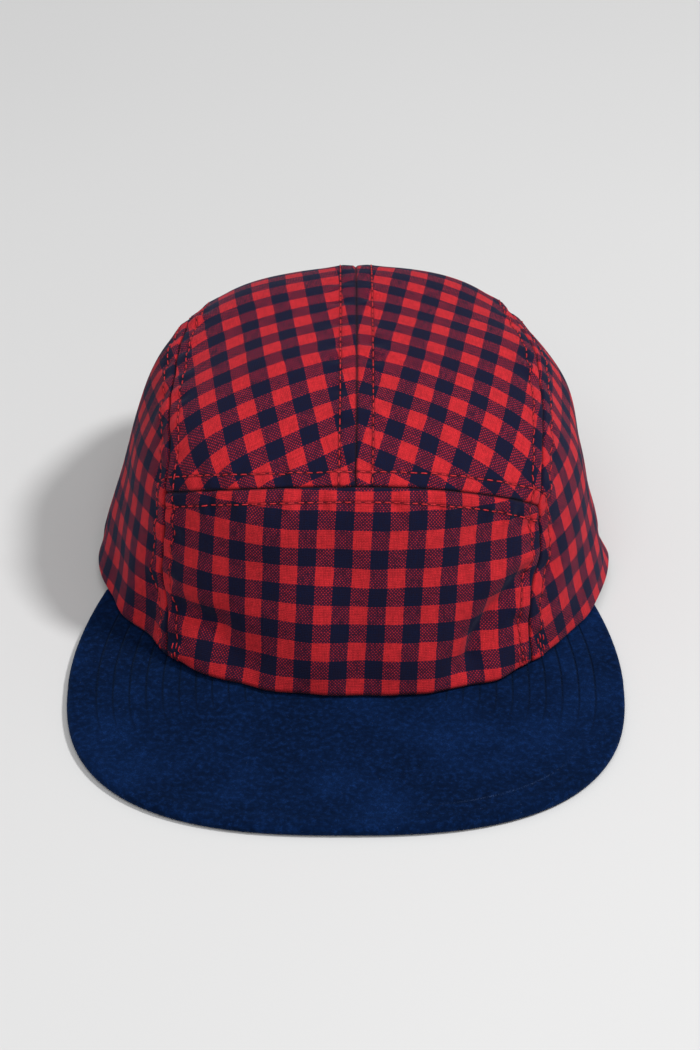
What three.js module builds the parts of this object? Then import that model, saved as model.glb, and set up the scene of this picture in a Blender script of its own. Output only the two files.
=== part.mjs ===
// A five-panel cap: a crown sewn from five cloth panels, a flat brim, and a strap with a
// slider across the opening at the back. Millimetres, +Z up. The brim points along -Y, and
// the brim and the crown's hem stand on z = 0.
import * as THREE from 'three';

// Cloth and clearances
const CLOTH_THICK = 1.5;
const GAP = 0.3;

// Brim: a flat stiff sheet that runs in under the hem of the crown. Its outer edge is a round
// front that is widest a little behind the middle of the hem, then sides that taper to corners.
const BRIM_THICK = 3.6;
const BRIM_TUCK = 6;
const BRIM_HALF_WIDTH = 93.7;
const BRIM_REACH = 63.8;
const BRIM_WIDEST_BACK = 13.2;
const BRIM_FRONT_POWER = 2.65;
const BRIM_FRONT_SHARE = 0.72;
const BRIM_CORNER_HALF_WIDTH = 84.6;
const BRIM_CORNER_BACK = 62;
const BRIM_TAPER_POWER = 1.8;
const BRIM_CORNER_DEG = 76;

// Crown: how its middle wanders off the brim's middle, as soft cloth does
const APEX_HEIGHT = 93.9;
const APEX_FORWARD = 3.5;
const SHIFT_AT_HEM = 1.2;
const SHIFT_AT_TOP = 2.5;

// The hem rides up on the brim at the front and comes down to the floor behind its corners
const HEM_LIFT = BRIM_THICK + GAP;
const LIFT_FULL_DEG = 78;
const LIFT_NONE_DEG = 108;
const LIFT_TOP_LEVEL = 0.2;

// Seams, as angles from the front and levels from the hem (0) to the apex (1)
const FRONT_SEAM_LEVEL = 0.564;
const FRONT_SEAM_POWER = 3;

// Half-round opening at the back of the hem
const OPENING_HALF_DEG = 22.5;
const OPENING_LEVEL = 0.3;
const OPENING_SEAM_SHARE = 0.39;

// Strap inside the hem across the opening, and the slider round it
const STRAP_HALF_DEG = 30;
const STRAP_LOW_LEVEL = 0.025;
const STRAP_HIGH_LEVEL = 0.155;
const STRAP_THICK = 1.4;
const STRAP_DEPTH = CLOTH_THICK + GAP;
const SLIDER_HALF_DEG = 4;
const SLIDER_WALL = 1.5;
const SLIDER_RIM_LEVEL = 0.016;
const SLIDER_SLOT_LEVEL = 0.004;

// Steps along the seams; panels that share a seam share its steps
const STEPS = { frontHalf: 10, rise: 12, run: 28, brim: 60, strap: 24, slider: 4 };

// Level rings of the crown. power is the roundness of the outline: 2 is an ellipse.
const RING_COLUMNS = [
  'level', 'halfWidth', 'front', 'back', 'zFront', 'zSide', 'zBack', 'frontPower', 'backPower',
];
const RINGS = [
  [0.00, 91.0, 83.0, 95.0, 0.0, 0.0, 0.0, 1.95, 2.1],
  [0.16, 85.8, 78.7, 97.5, 21.5, 20.7, 20.5, 2.1, 2.1],
  [0.34, 80.6, 71.4, 93.5, 46.0, 43.5, 44.0, 2.25, 2.1],
  [0.52, 73.2, 63.4, 82.0, 71.8, 66.2, 70.6, 2.35, 2.3],
  [0.70, 58.4, 43.8, 62.4, 85.8, 83.2, 86.5, 2.6, 2.15],
  [0.86, 31.4, 21.5, 31.0, 92.2, 91.1, 92.7, 2.2, 2.1],
];

// Seams between the front panel and the side panels, as places (degrees, level) from the hem
// up to the corner where the front seam ends. They kink where the cloth is creased.
const LEFT_FRONT_EDGE = [
  [45.8, 0], [47.8, 0.11], [51, 0.176], [53.6, 0.225], [53.9, 0.3], [54.7, 0.395], [56.4, 0.464],
];
const RIGHT_FRONT_EDGE = [
  [43.8, 0], [44.5, 0.12], [46.2, 0.205], [48.6, 0.257], [50.9, 0.295], [52, 0.36], [52.6, 0.444],
];

// Seam between a top panel and a side panel, from the corner to the back opening
const SIDE_SEAM = [
  [64, 0.59], [80, 0.655], [100, 0.669], [120, 0.648], [137, 0.55], [149, 0.39],
];

// Section of the brim, from the rounded outer edge inwards
const BRIM_SECTION = [
  { inset: 0, top: 2.4, bottom: 1.2 },
  { inset: 0.6, top: 3.2, bottom: 0.4 },
  { inset: 1.8, top: BRIM_THICK, bottom: 0 },
];
const BRIM_INNER_STEPS = 4;

// Soft folds of the crown, each along a path of places (degrees, level). Depth is how far the
// cloth is pressed in, and a negative depth is a swell.
const FOLDS = [
  { path: [[50, 0.265], [42, 0.265], [36, 0.22], [30, 0.14], [27, 0.08]], width: 7, depth: 2.0 },
  { path: [[47, 0.1], [37, 0.045]], width: 9, depth: -1.0 },
  { path: [[-51, 0.18], [-43, 0.186], [-34, 0.17], [-26, 0.1]], width: 10, depth: 2.2 },
  { path: [[-47, 0.09], [-38, 0.045]], width: 9, depth: -1.2 },
  { path: [[-90, 0.36], [-80, 0.28]], width: 22, depth: 1.5 },
  { path: [[74, 0], [80, 0.03]], width: 20, depth: -0.9 },
  { path: [[104, 0.02], [96, 0.2]], width: 30, depth: 1.5 },
  { path: [[96, 0.06], [88, 0.09]], width: 10, depth: 1.6 },
  { path: [[-92, 0], [-92, 0.1]], width: 34, depth: -1.9 },
  { path: [[-118, 0.62], [-105, 0.66]], width: 18, depth: -1.2 },
];
const CHART_UNIT = 110;

const rad = THREE.MathUtils.degToRad;
const { lerp, smoothstep } = THREE.MathUtils;

// The crown is laid out on a flat round chart: the apex is its middle, the hem its rim.
function chart(deg, level) {
  const reach = 1 - level;
  return new THREE.Vector2(reach * Math.sin(rad(deg)), -reach * Math.cos(rad(deg)));
}

// Rings past the apex mirror those before it, so that the top is round and smooth.
function ringTable() {
  const apex = RINGS.at(-1).slice();
  apex.splice(0, 7, 1, 0, 0, 0, APEX_HEIGHT, APEX_HEIGHT, APEX_HEIGHT);
  const beyond = RINGS.slice(-2).reverse().map(([level, half, front, back, ...rest]) => (
    [2 - level, -half, -front, -back, ...rest]
  ));
  const rows = [...RINGS, apex, ...beyond];
  const levels = rows.map((row) => row[0]);
  const values = rows.flatMap((row) => row.slice(1));
  return new THREE.CubicInterpolant(levels, values, RING_COLUMNS.length - 1);
}
const rings = ringTable();

function ringAt(level) {
  const values = rings.evaluate(level);
  return Object.fromEntries(RING_COLUMNS.slice(1).map((name, i) => [name, values[i]]));
}

// Distance from the crown's axis to its outline at a level, along an angle in radians.
function outlineReach(ring, angle) {
  const ahead = Math.cos(angle) > 0;
  const length = Math.max(ahead ? ring.front : ring.back, 1e-6);
  const power = ahead ? ring.frontPower : ring.backPower;
  const across = Math.abs(Math.sin(angle)) / Math.max(ring.halfWidth, 1e-6);
  const along = Math.abs(Math.cos(angle)) / length;
  return (across ** power + along ** power) ** (-1 / power);
}

// Height that the brim adds to the hem.
function hemLift(angle, level) {
  const deg = Math.abs(THREE.MathUtils.radToDeg(angle));
  const around = 1 - smoothstep(deg, LIFT_FULL_DEG, LIFT_NONE_DEG);
  const up = Math.max(1 - level / LIFT_TOP_LEVEL, 0);
  return HEM_LIFT * around * up * up;
}

// A point of the crown's smooth outer surface for a place on the chart.
function smoothPoint(place) {
  const level = 1 - place.length();
  const angle = Math.atan2(place.x, -place.y);
  const ring = ringAt(level);
  const reach = outlineReach(ring, angle);
  const ahead = Math.max(Math.cos(angle), 0) ** 2;
  const behind = Math.max(-Math.cos(angle), 0) ** 2;
  const rise = ring.zSide + (ring.zFront - ring.zSide) * ahead + (ring.zBack - ring.zSide) * behind;
  return new THREE.Vector3(
    reach * Math.sin(angle) + SHIFT_AT_HEM + SHIFT_AT_TOP * (1 - place.y ** 2),
    -reach * Math.cos(angle) - APEX_FORWARD * smoothstep(level, 0, 1),
    rise + hemLift(angle, level),
  );
}

// Distance on the chart from a place to a path of straight steps.
function distanceToPath(place, path) {
  const here = new THREE.Vector3(place.x, place.y, 0);
  const stops = path.map(([deg, level]) => new THREE.Vector3(...chart(deg, level), 0));
  const steps = stops.slice(1).map((stop, k) => new THREE.Line3(stops[k], stop));
  const away = (step) => step.closestPointToPoint(here, true, new THREE.Vector3()).distanceTo(here);
  return Math.min(...steps.map(away));
}

// How deep the folds press the cloth in at a place on the chart.
function foldDepth(place) {
  return FOLDS.reduce((sum, { path, width, depth }) => {
    const away = (distanceToPath(place, path) * CHART_UNIT) / width;
    return sum + depth * Math.exp(-away * away);
  }, 0);
}

// The outer point and outward direction at a place on the chart. The direction lies level
// at the hem, so that the cloth's cut edge is level too.
function crownFrame(place) {
  const step = 1e-3;
  const slope = (dx, dy) => {
    const ahead = smoothPoint(new THREE.Vector2(place.x + dx, place.y + dy));
    const behind = smoothPoint(new THREE.Vector2(place.x - dx, place.y - dy));
    return ahead.sub(behind);
  };
  const outward = slope(step, 0).cross(slope(0, step)).normalize();
  outward.z *= smoothstep(1 - place.length(), 0, 0.1);
  outward.normalize();
  const point = smoothPoint(place).addScaledVector(outward, -foldDepth(place));
  return { point, outward };
}

function crownPoint(place, depth) {
  const { point, outward } = crownFrame(place);
  return point.addScaledVector(outward, -depth);
}

// A closed body between two grids of points: a front face, a back face and the rim.
function shellGeometry(front, back, columns, rows) {
  const at = (i, j) => j * (columns + 1) + i;
  const behind = front.length;
  const index = [];
  const quad = (a, b, c, d) => index.push(a, b, c, a, c, d);
  for (let j = 0; j < rows; j += 1) {
    for (let i = 0; i < columns; i += 1) {
      const [a, b, c, d] = [at(i, j), at(i + 1, j), at(i + 1, j + 1), at(i, j + 1)];
      quad(a, b, c, d);
      quad(behind + a, behind + d, behind + c, behind + b);
    }
  }
  const rim = [];
  for (let i = 0; i < columns; i += 1) rim.push(at(i, 0));
  for (let j = 0; j < rows; j += 1) rim.push(at(columns, j));
  for (let i = columns; i > 0; i -= 1) rim.push(at(i, rows));
  for (let j = rows; j > 0; j -= 1) rim.push(at(0, j));
  rim.forEach((a, k) => {
    const b = rim[(k + 1) % rim.length];
    quad(a, behind + a, behind + b, b);
  });
  return indexedGeometry([...front, ...back], index);
}

function indexedGeometry(points, index) {
  const geometry = new THREE.BufferGeometry().setFromPoints(points);
  geometry.setIndex(index);
  geometry.computeVertexNormals();
  return geometry;
}

// Seams and edges, each a walk over the chart from 0 to 1. side is +1 towards +X, else -1.
const hemEdge = (from, to) => (t) => chart(lerp(from, to, t), 0);
const turned = (edge) => (t) => edge(1 - t);

const frontEdgePlaces = (side) => (side > 0 ? RIGHT_FRONT_EDGE : LEFT_FRONT_EDGE);
const hemSeamDeg = (side) => side * frontEdgePlaces(side)[0][0];

function frontSeam(side) {
  const [cornerDeg, cornerLevel] = frontEdgePlaces(side).at(-1);
  const level = (t) => lerp(FRONT_SEAM_LEVEL, cornerLevel, t ** FRONT_SEAM_POWER);
  return (t) => chart(side * cornerDeg * t, level(t));
}

function seamCurve(places) {
  const curve = new THREE.SplineCurve(places);
  return (t) => curve.getPoint(t);
}

function frontEdge(side) {
  return seamCurve(frontEdgePlaces(side).map(([deg, level]) => chart(side * deg, level)));
}

// Edge of the back opening: share 0 is at the hem, share 1 at the top of the half round.
function openingEdge(side, from, to) {
  return (t) => {
    const turn = (lerp(from, to, t) * Math.PI) / 2;
    const deg = 180 - OPENING_HALF_DEG * Math.cos(turn);
    return chart(side * deg, OPENING_LEVEL * Math.sin(turn));
  };
}

function centreSeam() {
  const front = chart(0, FRONT_SEAM_LEVEL);
  const back = chart(180, OPENING_LEVEL);
  return (t) => front.clone().lerp(back, t);
}

function sideSeam(side) {
  return seamCurve([
    frontSeam(side)(1),
    ...SIDE_SEAM.map(([deg, level]) => chart(side * deg, level)),
    openingEdge(side, 0, 1)(OPENING_SEAM_SHARE),
  ]);
}

// A place inside four edges that meet at their ends.
function patchPlace({ bottom, top, left, right }, u, v) {
  const place = bottom(u).multiplyScalar(1 - v).addScaledVector(top(u), v);
  place.addScaledVector(left(v), 1 - u).addScaledVector(right(v), u);
  place.addScaledVector(bottom(0), -(1 - u) * (1 - v)).addScaledVector(bottom(1), -u * (1 - v));
  return place.addScaledVector(top(0), -(1 - u) * v).addScaledVector(top(1), -u * v);
}

function edgeLength(edge) {
  const points = Array.from({ length: 13 }, (_, k) => smoothPoint(edge(k / 12)));
  return points.slice(1).reduce((sum, point, k) => sum + point.distanceTo(points[k]), 0);
}

// A cloth panel over a patch of the crown, drawn in by half a gap along its seams.
function panelGeometry(edges, columns, rows) {
  const across = GAP / 2 / Math.min(edgeLength(edges.bottom), edgeLength(edges.top));
  const up = GAP / 2 / Math.min(edgeLength(edges.left), edgeLength(edges.right));
  const floor = edges.bottomIsHem ? 0 : up;
  const outer = [];
  const inner = [];
  for (let j = 0; j <= rows; j += 1) {
    for (let i = 0; i <= columns; i += 1) {
      const u = lerp(across, 1 - across, i / columns);
      const v = lerp(floor, 1 - up, j / rows);
      const place = patchPlace(edges, u, v);
      outer.push(crownPoint(place, 0));
      inner.push(crownPoint(place, CLOTH_THICK));
    }
  }
  return shellGeometry(outer, inner, columns, rows);
}

function frontPanel() {
  const [left, right] = [frontSeam(-1), frontSeam(1)];
  const edges = {
    bottom: hemEdge(hemSeamDeg(-1), hemSeamDeg(1)),
    top: (t) => (t < 0.5 ? left(1 - 2 * t) : right(2 * t - 1)),
    left: frontEdge(-1),
    right: frontEdge(1),
    bottomIsHem: true,
  };
  return panelGeometry(edges, 2 * STEPS.frontHalf, STEPS.rise);
}

function topPanel(side) {
  const front = frontSeam(side);
  const back = turned(openingEdge(side, OPENING_SEAM_SHARE, 1));
  const edges = side > 0
    ? { bottom: front, top: back, left: centreSeam(), right: sideSeam(side) }
    : { bottom: turned(front), top: turned(back), left: sideSeam(side), right: centreSeam() };
  return panelGeometry(edges, STEPS.frontHalf, STEPS.run);
}

function sidePanel(side) {
  const hem = hemEdge(hemSeamDeg(side), side * (180 - OPENING_HALF_DEG));
  const seam = sideSeam(side);
  const back = openingEdge(side, 0, OPENING_SEAM_SHARE);
  const edges = side > 0
    ? { bottom: hem, top: seam, left: frontEdge(side), right: back }
    : { bottom: turned(hem), top: turned(seam), left: back, right: frontEdge(side) };
  edges.bottomIsHem = true;
  return panelGeometry(edges, STEPS.run, STEPS.rise);
}

// The brim's outer edge, walked from its left corner (-1) round the front (0) to its right (1).
function brimEdge(t) {
  const hemFront = -ringAt(0).front;
  const side = Math.sign(t);
  const widest = hemFront + BRIM_WIDEST_BACK;
  if (Math.abs(t) <= BRIM_FRONT_SHARE) {
    const turn = ((Math.abs(t) / BRIM_FRONT_SHARE) * Math.PI) / 2;
    const power = 2 / BRIM_FRONT_POWER;
    const ahead = (BRIM_REACH + BRIM_WIDEST_BACK) * Math.max(Math.cos(turn), 0) ** power;
    return new THREE.Vector2(side * BRIM_HALF_WIDTH * Math.sin(turn) ** power, widest - ahead);
  }
  const share = (Math.abs(t) - BRIM_FRONT_SHARE) / (1 - BRIM_FRONT_SHARE);
  const taper = (BRIM_HALF_WIDTH - BRIM_CORNER_HALF_WIDTH) * share ** BRIM_TAPER_POWER;
  const back = lerp(widest, hemFront + BRIM_CORNER_BACK, share);
  return new THREE.Vector2(side * (BRIM_HALF_WIDTH - taper), back);
}

// The brim's inner edge lies under the crown, inside the line of its hem.
function brimTuckedEdge(t) {
  const angle = rad(BRIM_CORNER_DEG * t);
  const reach = outlineReach(ringAt(0), angle) - BRIM_TUCK;
  return new THREE.Vector2(reach * Math.sin(angle), -reach * Math.cos(angle));
}

function brimGeometry() {
  const columns = STEPS.brim;
  const rows = BRIM_SECTION.length - 1 + BRIM_INNER_STEPS;
  const top = [];
  const bottom = [];
  for (let j = 0; j <= rows; j += 1) {
    const section = BRIM_SECTION[Math.min(j, BRIM_SECTION.length - 1)];
    const share = Math.max(j - BRIM_SECTION.length + 1, 0) / BRIM_INNER_STEPS;
    for (let i = 0; i <= columns; i += 1) {
      const t = lerp(-1, 1, i / columns);
      const outer = brimEdge(t);
      const inner = brimTuckedEdge(t);
      const width = outer.distanceTo(inner);
      const rolled = Math.min(section.inset / width, 0.5);
      const { x, y } = outer.lerp(inner, lerp(rolled, 1, share));
      top.push(new THREE.Vector3(x, y, section.top));
      bottom.push(new THREE.Vector3(x, y, section.bottom));
    }
  }
  return shellGeometry(top, bottom, columns, rows);
}

// The strap follows the crown's own surface just inside the cloth.
function strapGeometry() {
  const columns = STEPS.strap;
  const outer = [];
  const inner = [];
  for (const level of [STRAP_LOW_LEVEL, STRAP_HIGH_LEVEL]) {
    for (let i = 0; i <= columns; i += 1) {
      const deg = lerp(180 - STRAP_HALF_DEG, 180 + STRAP_HALF_DEG, i / columns);
      const place = chart(deg, level);
      outer.push(crownPoint(place, STRAP_DEPTH));
      inner.push(crownPoint(place, STRAP_DEPTH + STRAP_THICK));
    }
  }
  return shellGeometry(outer, inner, columns, 1);
}

// The slider is a flat sleeve: a rectangular ring in section, run along the strap.
function sliderGeometry() {
  const ring = (low, high, near, far) => [[low, near], [high, near], [high, far], [low, far]];
  const slot = ring(
    STRAP_LOW_LEVEL - SLIDER_SLOT_LEVEL,
    STRAP_HIGH_LEVEL + SLIDER_SLOT_LEVEL,
    STRAP_DEPTH - GAP,
    STRAP_DEPTH + STRAP_THICK + GAP,
  );
  const outside = ring(
    STRAP_LOW_LEVEL - SLIDER_RIM_LEVEL,
    STRAP_HIGH_LEVEL + SLIDER_RIM_LEVEL,
    STRAP_DEPTH - GAP - SLIDER_WALL,
    STRAP_DEPTH + STRAP_THICK + GAP + SLIDER_WALL,
  );
  const points = [];
  for (let k = 0; k <= STEPS.slider; k += 1) {
    const deg = 180 + lerp(-SLIDER_HALF_DEG, SLIDER_HALF_DEG, k / STEPS.slider);
    for (const [level, depth] of [...outside, ...slot]) {
      points.push(crownPoint(chart(deg, level), depth));
    }
  }
  const index = [];
  const quad = (a, b, c, d) => index.push(a, b, c, a, c, d);
  const last = STEPS.slider * 8;
  for (let side = 0; side < 4; side += 1) {
    const next = (side + 1) % 4;
    for (let k = 0; k < last; k += 8) {
      quad(k + side, k + 8 + side, k + 8 + next, k + next);
      quad(k + 4 + side, k + 4 + next, k + 12 + next, k + 12 + side);
    }
    quad(side, next, 4 + next, 4 + side);
    quad(last + side, last + 4 + side, last + 4 + next, last + next);
  }
  return indexedGeometry(points, index);
}

function mesh(name, geometry, color, roughness) {
  const material = new THREE.MeshStandardMaterial({ color, roughness, metalness: 0 });
  const piece = new THREE.Mesh(geometry, material);
  piece.name = name;
  return piece;
}

const CLOTH_COLOR = 0x7c2531;
const SUEDE_COLOR = 0x10264f;
const WEBBING_COLOR = 0x18203c;
const PLASTIC_COLOR = 0x14161c;

const cap = new THREE.Group();
cap.add(
  mesh('front_panel', frontPanel(), CLOTH_COLOR, 0.9),
  mesh('top_panel_left', topPanel(-1), CLOTH_COLOR, 0.9),
  mesh('top_panel_right', topPanel(1), CLOTH_COLOR, 0.9),
  mesh('side_panel_left', sidePanel(-1), CLOTH_COLOR, 0.9),
  mesh('side_panel_right', sidePanel(1), CLOTH_COLOR, 0.9),
  mesh('brim', brimGeometry(), SUEDE_COLOR, 0.95),
  mesh('back_strap', strapGeometry(), WEBBING_COLOR, 0.8),
  mesh('strap_slider', sliderGeometry(), PLASTIC_COLOR, 0.45),
);

// The origin is the middle of the footprint, on the floor.
const box = new THREE.Box3().setFromObject(cap);
const middle = box.getCenter(new THREE.Vector3());
cap.position.set(-middle.x, -middle.y, -box.min.z);

export default cap;
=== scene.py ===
"""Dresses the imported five-panel cap for pictures.

The crown is five sewn gingham panels, the brim is a board covered in navy suede cloth, and a
webbing strap with a slider bridges the opening at the back. Every surface is worked out with
numpy on a grid of two parameters, in metres and in the frame of the CAD model.
"""
import logging
from dataclasses import dataclass, field
from enum import Enum
from typing import Callable

import bpy
import numpy as np
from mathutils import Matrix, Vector


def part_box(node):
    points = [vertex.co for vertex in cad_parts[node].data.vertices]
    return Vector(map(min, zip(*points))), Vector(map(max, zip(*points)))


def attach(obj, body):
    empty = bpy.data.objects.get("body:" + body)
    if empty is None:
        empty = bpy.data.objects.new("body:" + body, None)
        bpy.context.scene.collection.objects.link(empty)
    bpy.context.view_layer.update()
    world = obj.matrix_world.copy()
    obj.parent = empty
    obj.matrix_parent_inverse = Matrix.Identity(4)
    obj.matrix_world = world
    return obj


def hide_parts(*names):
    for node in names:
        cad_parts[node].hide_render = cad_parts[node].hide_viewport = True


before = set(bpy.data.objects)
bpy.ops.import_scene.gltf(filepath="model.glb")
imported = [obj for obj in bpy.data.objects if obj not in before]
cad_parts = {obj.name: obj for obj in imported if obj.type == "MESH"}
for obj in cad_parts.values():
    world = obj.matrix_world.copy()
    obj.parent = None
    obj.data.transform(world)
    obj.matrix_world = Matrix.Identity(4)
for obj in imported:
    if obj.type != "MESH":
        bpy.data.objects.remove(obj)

Array = np.ndarray
Walk = Callable[[Array], Array]
Color = tuple[float, float, float]
Place = tuple[float, float, float]
Span = tuple[float, float]
Stops = tuple[Span, ...]

MM = 0.001
TINY = 1e-12
LOG = logging.getLogger("cap")

ROW_MAPS = ("rows_across", "rows_up")
# UV maps with the distances past a panel's rows of stitches, which place its painted seam shade: its
# sides, then its foot and head.
"""UV maps with the distances past a panel's rows of stitches: its sides, then its foot and head."""

STITCH_PITCH = 3.3 * MM
"""Distance from one stitch to the next."""

SEAM_ROW = 4.6 * MM
"""Distance between a seam and its row of stitches."""

CROSS_ROW = 5.0 * MM
"""The same at the cross seam and at the opening."""

CENTRE_ROW = 5.5 * MM
"""The same at the centre seam."""

TACKS = (-1.4 * MM, 1.4 * MM)
"""Where the seams beside the front panel are sewn again at their foot, from their row."""

NOT_SEWN = 1.0
"""Distance that stands for a side without rows of stitches."""


class Side(Enum):
    """Side of the cap, as the sign of x."""

    LEFT = -1
    RIGHT = 1


class EdgeKind(Enum):
    """How the edge of a cloth panel is finished."""

    SEAM = "seam"
    HEM = "hem"
    BOUND = "bound"


class Border(Enum):
    """Which border of a panel's grid an edge runs along."""

    BOTTOM = "bottom"
    TOP = "top"
    LEFT = "left"
    RIGHT = "right"


def smoothstep(x: Array, low: float, high: float) -> Array:
    """S-shaped rise from 0 at low to 1 at high: 3t^2 - 2t^3."""
    t = np.clip((x - low) / (high - low), 0.0, 1.0)
    return t * t * (3.0 - 2.0 * t)


def unit(vectors: Array) -> Array:
    """Vectors of length one along the last axis."""
    return vectors / np.maximum(np.linalg.norm(vectors, axis=-1, keepdims=True), TINY)


def run_lengths(path: Array) -> Array:
    """Length walked along a path of points, from 0 at its start."""
    return np.concatenate(([0.0], np.cumsum(np.linalg.norm(np.diff(path, axis=0), axis=1))))


def lay_along(path: Array, runs: Array, where: Array) -> Array:
    """Values of a path at the given walked lengths.

    Args:
        path: Rows of values, one for each stop.
        runs: Walked length at each stop.
        where: Walked lengths to read, of any shape.

    Returns:
        The values, with the path's columns as the last axis.
    """
    return np.stack([np.interp(where, runs, column) for column in path.T], axis=-1)


def eased(count: int, ease: float) -> Array:
    """Steps from 0 to 1 that crowd towards both ends.

    The step t is drawn back by ease * sin(2 pi t) / (2 pi), so end steps are (1 - ease) times
    the even step.

    Args:
        count: Number of steps.
        ease: Share by which the end steps shrink, from 0 to 1.

    Returns:
        The count + 1 values.
    """
    t = np.linspace(0.0, 1.0, count + 1)
    return t - ease * np.sin(2.0 * np.pi * t) / (2.0 * np.pi)


def distance_to_path(points: Array, path: Array) -> tuple[Array, Array]:
    """Distance from each point to the nearest stop of a dense path.

    Args:
        points: Points with coordinates on the last axis.
        path: Stops of the path, close together.

    Returns:
        The distances, and the walked length of the nearest stop, both shaped as the points.
    """
    flat = points.reshape(-1, points.shape[-1])
    middle = path.mean(axis=0)
    flat, stops = flat - middle, path - middle
    square = (flat**2).sum(1)[:, None] + (stops**2).sum(1) - 2.0 * flat @ stops.T
    nearest = square.argmin(axis=1)
    away = np.sqrt(np.maximum(square[np.arange(len(flat)), nearest], 0.0))
    runs = run_lengths(path)[nearest]
    return away.reshape(points.shape[:-1]), runs.reshape(points.shape[:-1])


def shell_faces(columns: int, rows: int) -> Array:
    """Quads of a closed wall between an outer and an inner grid of points.

    Args:
        columns: Steps along a row of the grid.
        rows: Number of steps between rows.

    Returns:
        Quads over the outer points followed by the inner points, all facing outwards.
    """
    index = np.arange((rows + 1) * (columns + 1)).reshape(rows + 1, columns + 1)
    behind = index.size
    corners = [index[:-1, :-1], index[:-1, 1:], index[1:, 1:], index[1:, :-1]]
    outer = np.stack(corners, axis=-1).reshape(-1, 4)
    inner = behind + outer[:, ::-1]
    rim = np.concatenate((index[0, :-1], index[:-1, -1], index[-1, :0:-1], index[:0:-1, 0]))
    after = np.roll(rim, -1)
    wall = np.stack((rim, behind + rim, behind + after, after), axis=-1)
    return np.concatenate((outer, inner, wall))


def make_piece(name: str, points: Array, faces: Array, material: bpy.types.Material,
               **maps: Array) -> bpy.types.Object:
    """Makes a smooth-shaded mesh object that rides on the cap's one body.

    Args:
        name: Name of the object.
        points: Vertex positions, one row each.
        faces: Quads of vertex numbers.
        material: Finish of the whole piece.
        maps: Two numbers in metres for each vertex, by the name of the UV map that keeps them.

    Returns:
        The object, at the origin.
    """
    mesh = bpy.data.meshes.new(name)
    mesh.from_pydata(points.reshape(-1, 3), [], faces.tolist())
    mesh.polygons.foreach_set("use_smooth", np.ones(len(faces), dtype=bool))
    for key, values in maps.items():
        layer = mesh.uv_layers.new(name=key)
        layer.data.foreach_set("uv", values.reshape(-1, 2)[faces.reshape(-1)].ravel())
    mesh.materials.append(material)
    mesh.update()
    piece = bpy.data.objects.new(name, mesh)
    bpy.context.scene.collection.objects.link(piece)
    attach(piece, "root")
    return piece


@dataclass(frozen=True)
class CubicTable:
    """A table of values that is read smoothly between its rows."""

    knots: Array
    values: Array

    def at(self, x: Array) -> Array:
        """Reads the table by cubic pieces whose slope at a row is the mean of its neighbours'.

        Args:
            x: Places to read, held inside the table.

        Returns:
            The values, with the table's columns as the last axis.
        """
        gap = np.diff(self.knots)
        rise = np.diff(self.values, axis=0) / gap[:, None]
        slope = np.concatenate((rise[:1], (rise[:-1] + rise[1:]) / 2.0, rise[-1:]))
        x = np.clip(x, self.knots[0], self.knots[-1])
        k = np.clip(np.searchsorted(self.knots, x, side="right") - 1, 0, len(gap) - 1)
        t = ((x - self.knots[k]) / gap[k])[..., None]
        step = gap[k][..., None]
        start = (1.0 + 2.0 * t) * (1.0 - t) ** 2 * self.values[k]
        end = t * t * (3.0 - 2.0 * t) * self.values[k + 1]
        lean = t * (1.0 - t) ** 2 * slope[k] + t * t * (t - 1.0) * slope[k + 1]
        return start + end + step * lean


def chart(deg: Array, level: Array) -> Array:
    """Place on the crown's flat round chart: the apex is its middle, the hem its rim."""
    turn = np.radians(deg)
    return np.stack(((1.0 - level) * np.sin(turn), -(1.0 - level) * np.cos(turn)), axis=-1)


@dataclass(frozen=True)
class Fold:
    """A soft valley in the cloth, or a swell where its depth is negative.

    The path has an angle from the front, in degrees, and a level at each stop.
    """

    path: Stops
    width: float
    depth: float
    stations: int = 80

    def press(self, places: Array, unit_length: float) -> Array:
        """Depth at places on the chart: depth * exp(-(distance / width)^2).

        Args:
            places: Places on the chart.
            unit_length: Length on the cloth of one unit of the chart.

        Returns:
            How far the fold presses the cloth in.
        """
        stops = np.array(self.path)
        steps = np.linspace(0.0, len(stops) - 1.0, self.stations)
        turns = np.arange(len(stops))
        line = chart(np.interp(steps, turns, stops[:, 0]), np.interp(steps, turns, stops[:, 1]))
        away, _ = distance_to_path(places, line)
        return self.depth * np.exp(-((away * unit_length / self.width) ** 2))


RINGS = (
    (0.00, 91.0, 83.0, 95.0, 0.0, 0.0, 0.0, 1.95, 2.1),
    (0.16, 85.8, 78.7, 97.5, 21.5, 20.7, 20.5, 2.1, 2.1),
    (0.34, 80.6, 71.4, 93.5, 46.0, 43.5, 44.0, 2.25, 2.1),
    (0.52, 73.2, 63.4, 82.0, 71.8, 66.2, 70.6, 2.35, 2.3),
    (0.70, 58.4, 43.8, 62.4, 85.8, 83.2, 86.5, 2.6, 2.15),
    (0.86, 31.4, 21.5, 31.0, 92.2, 91.1, 92.7, 2.2, 2.1),
)
"""Level, half width, front, back, z front, z side, z back (mm), front and back roundness."""

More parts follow.
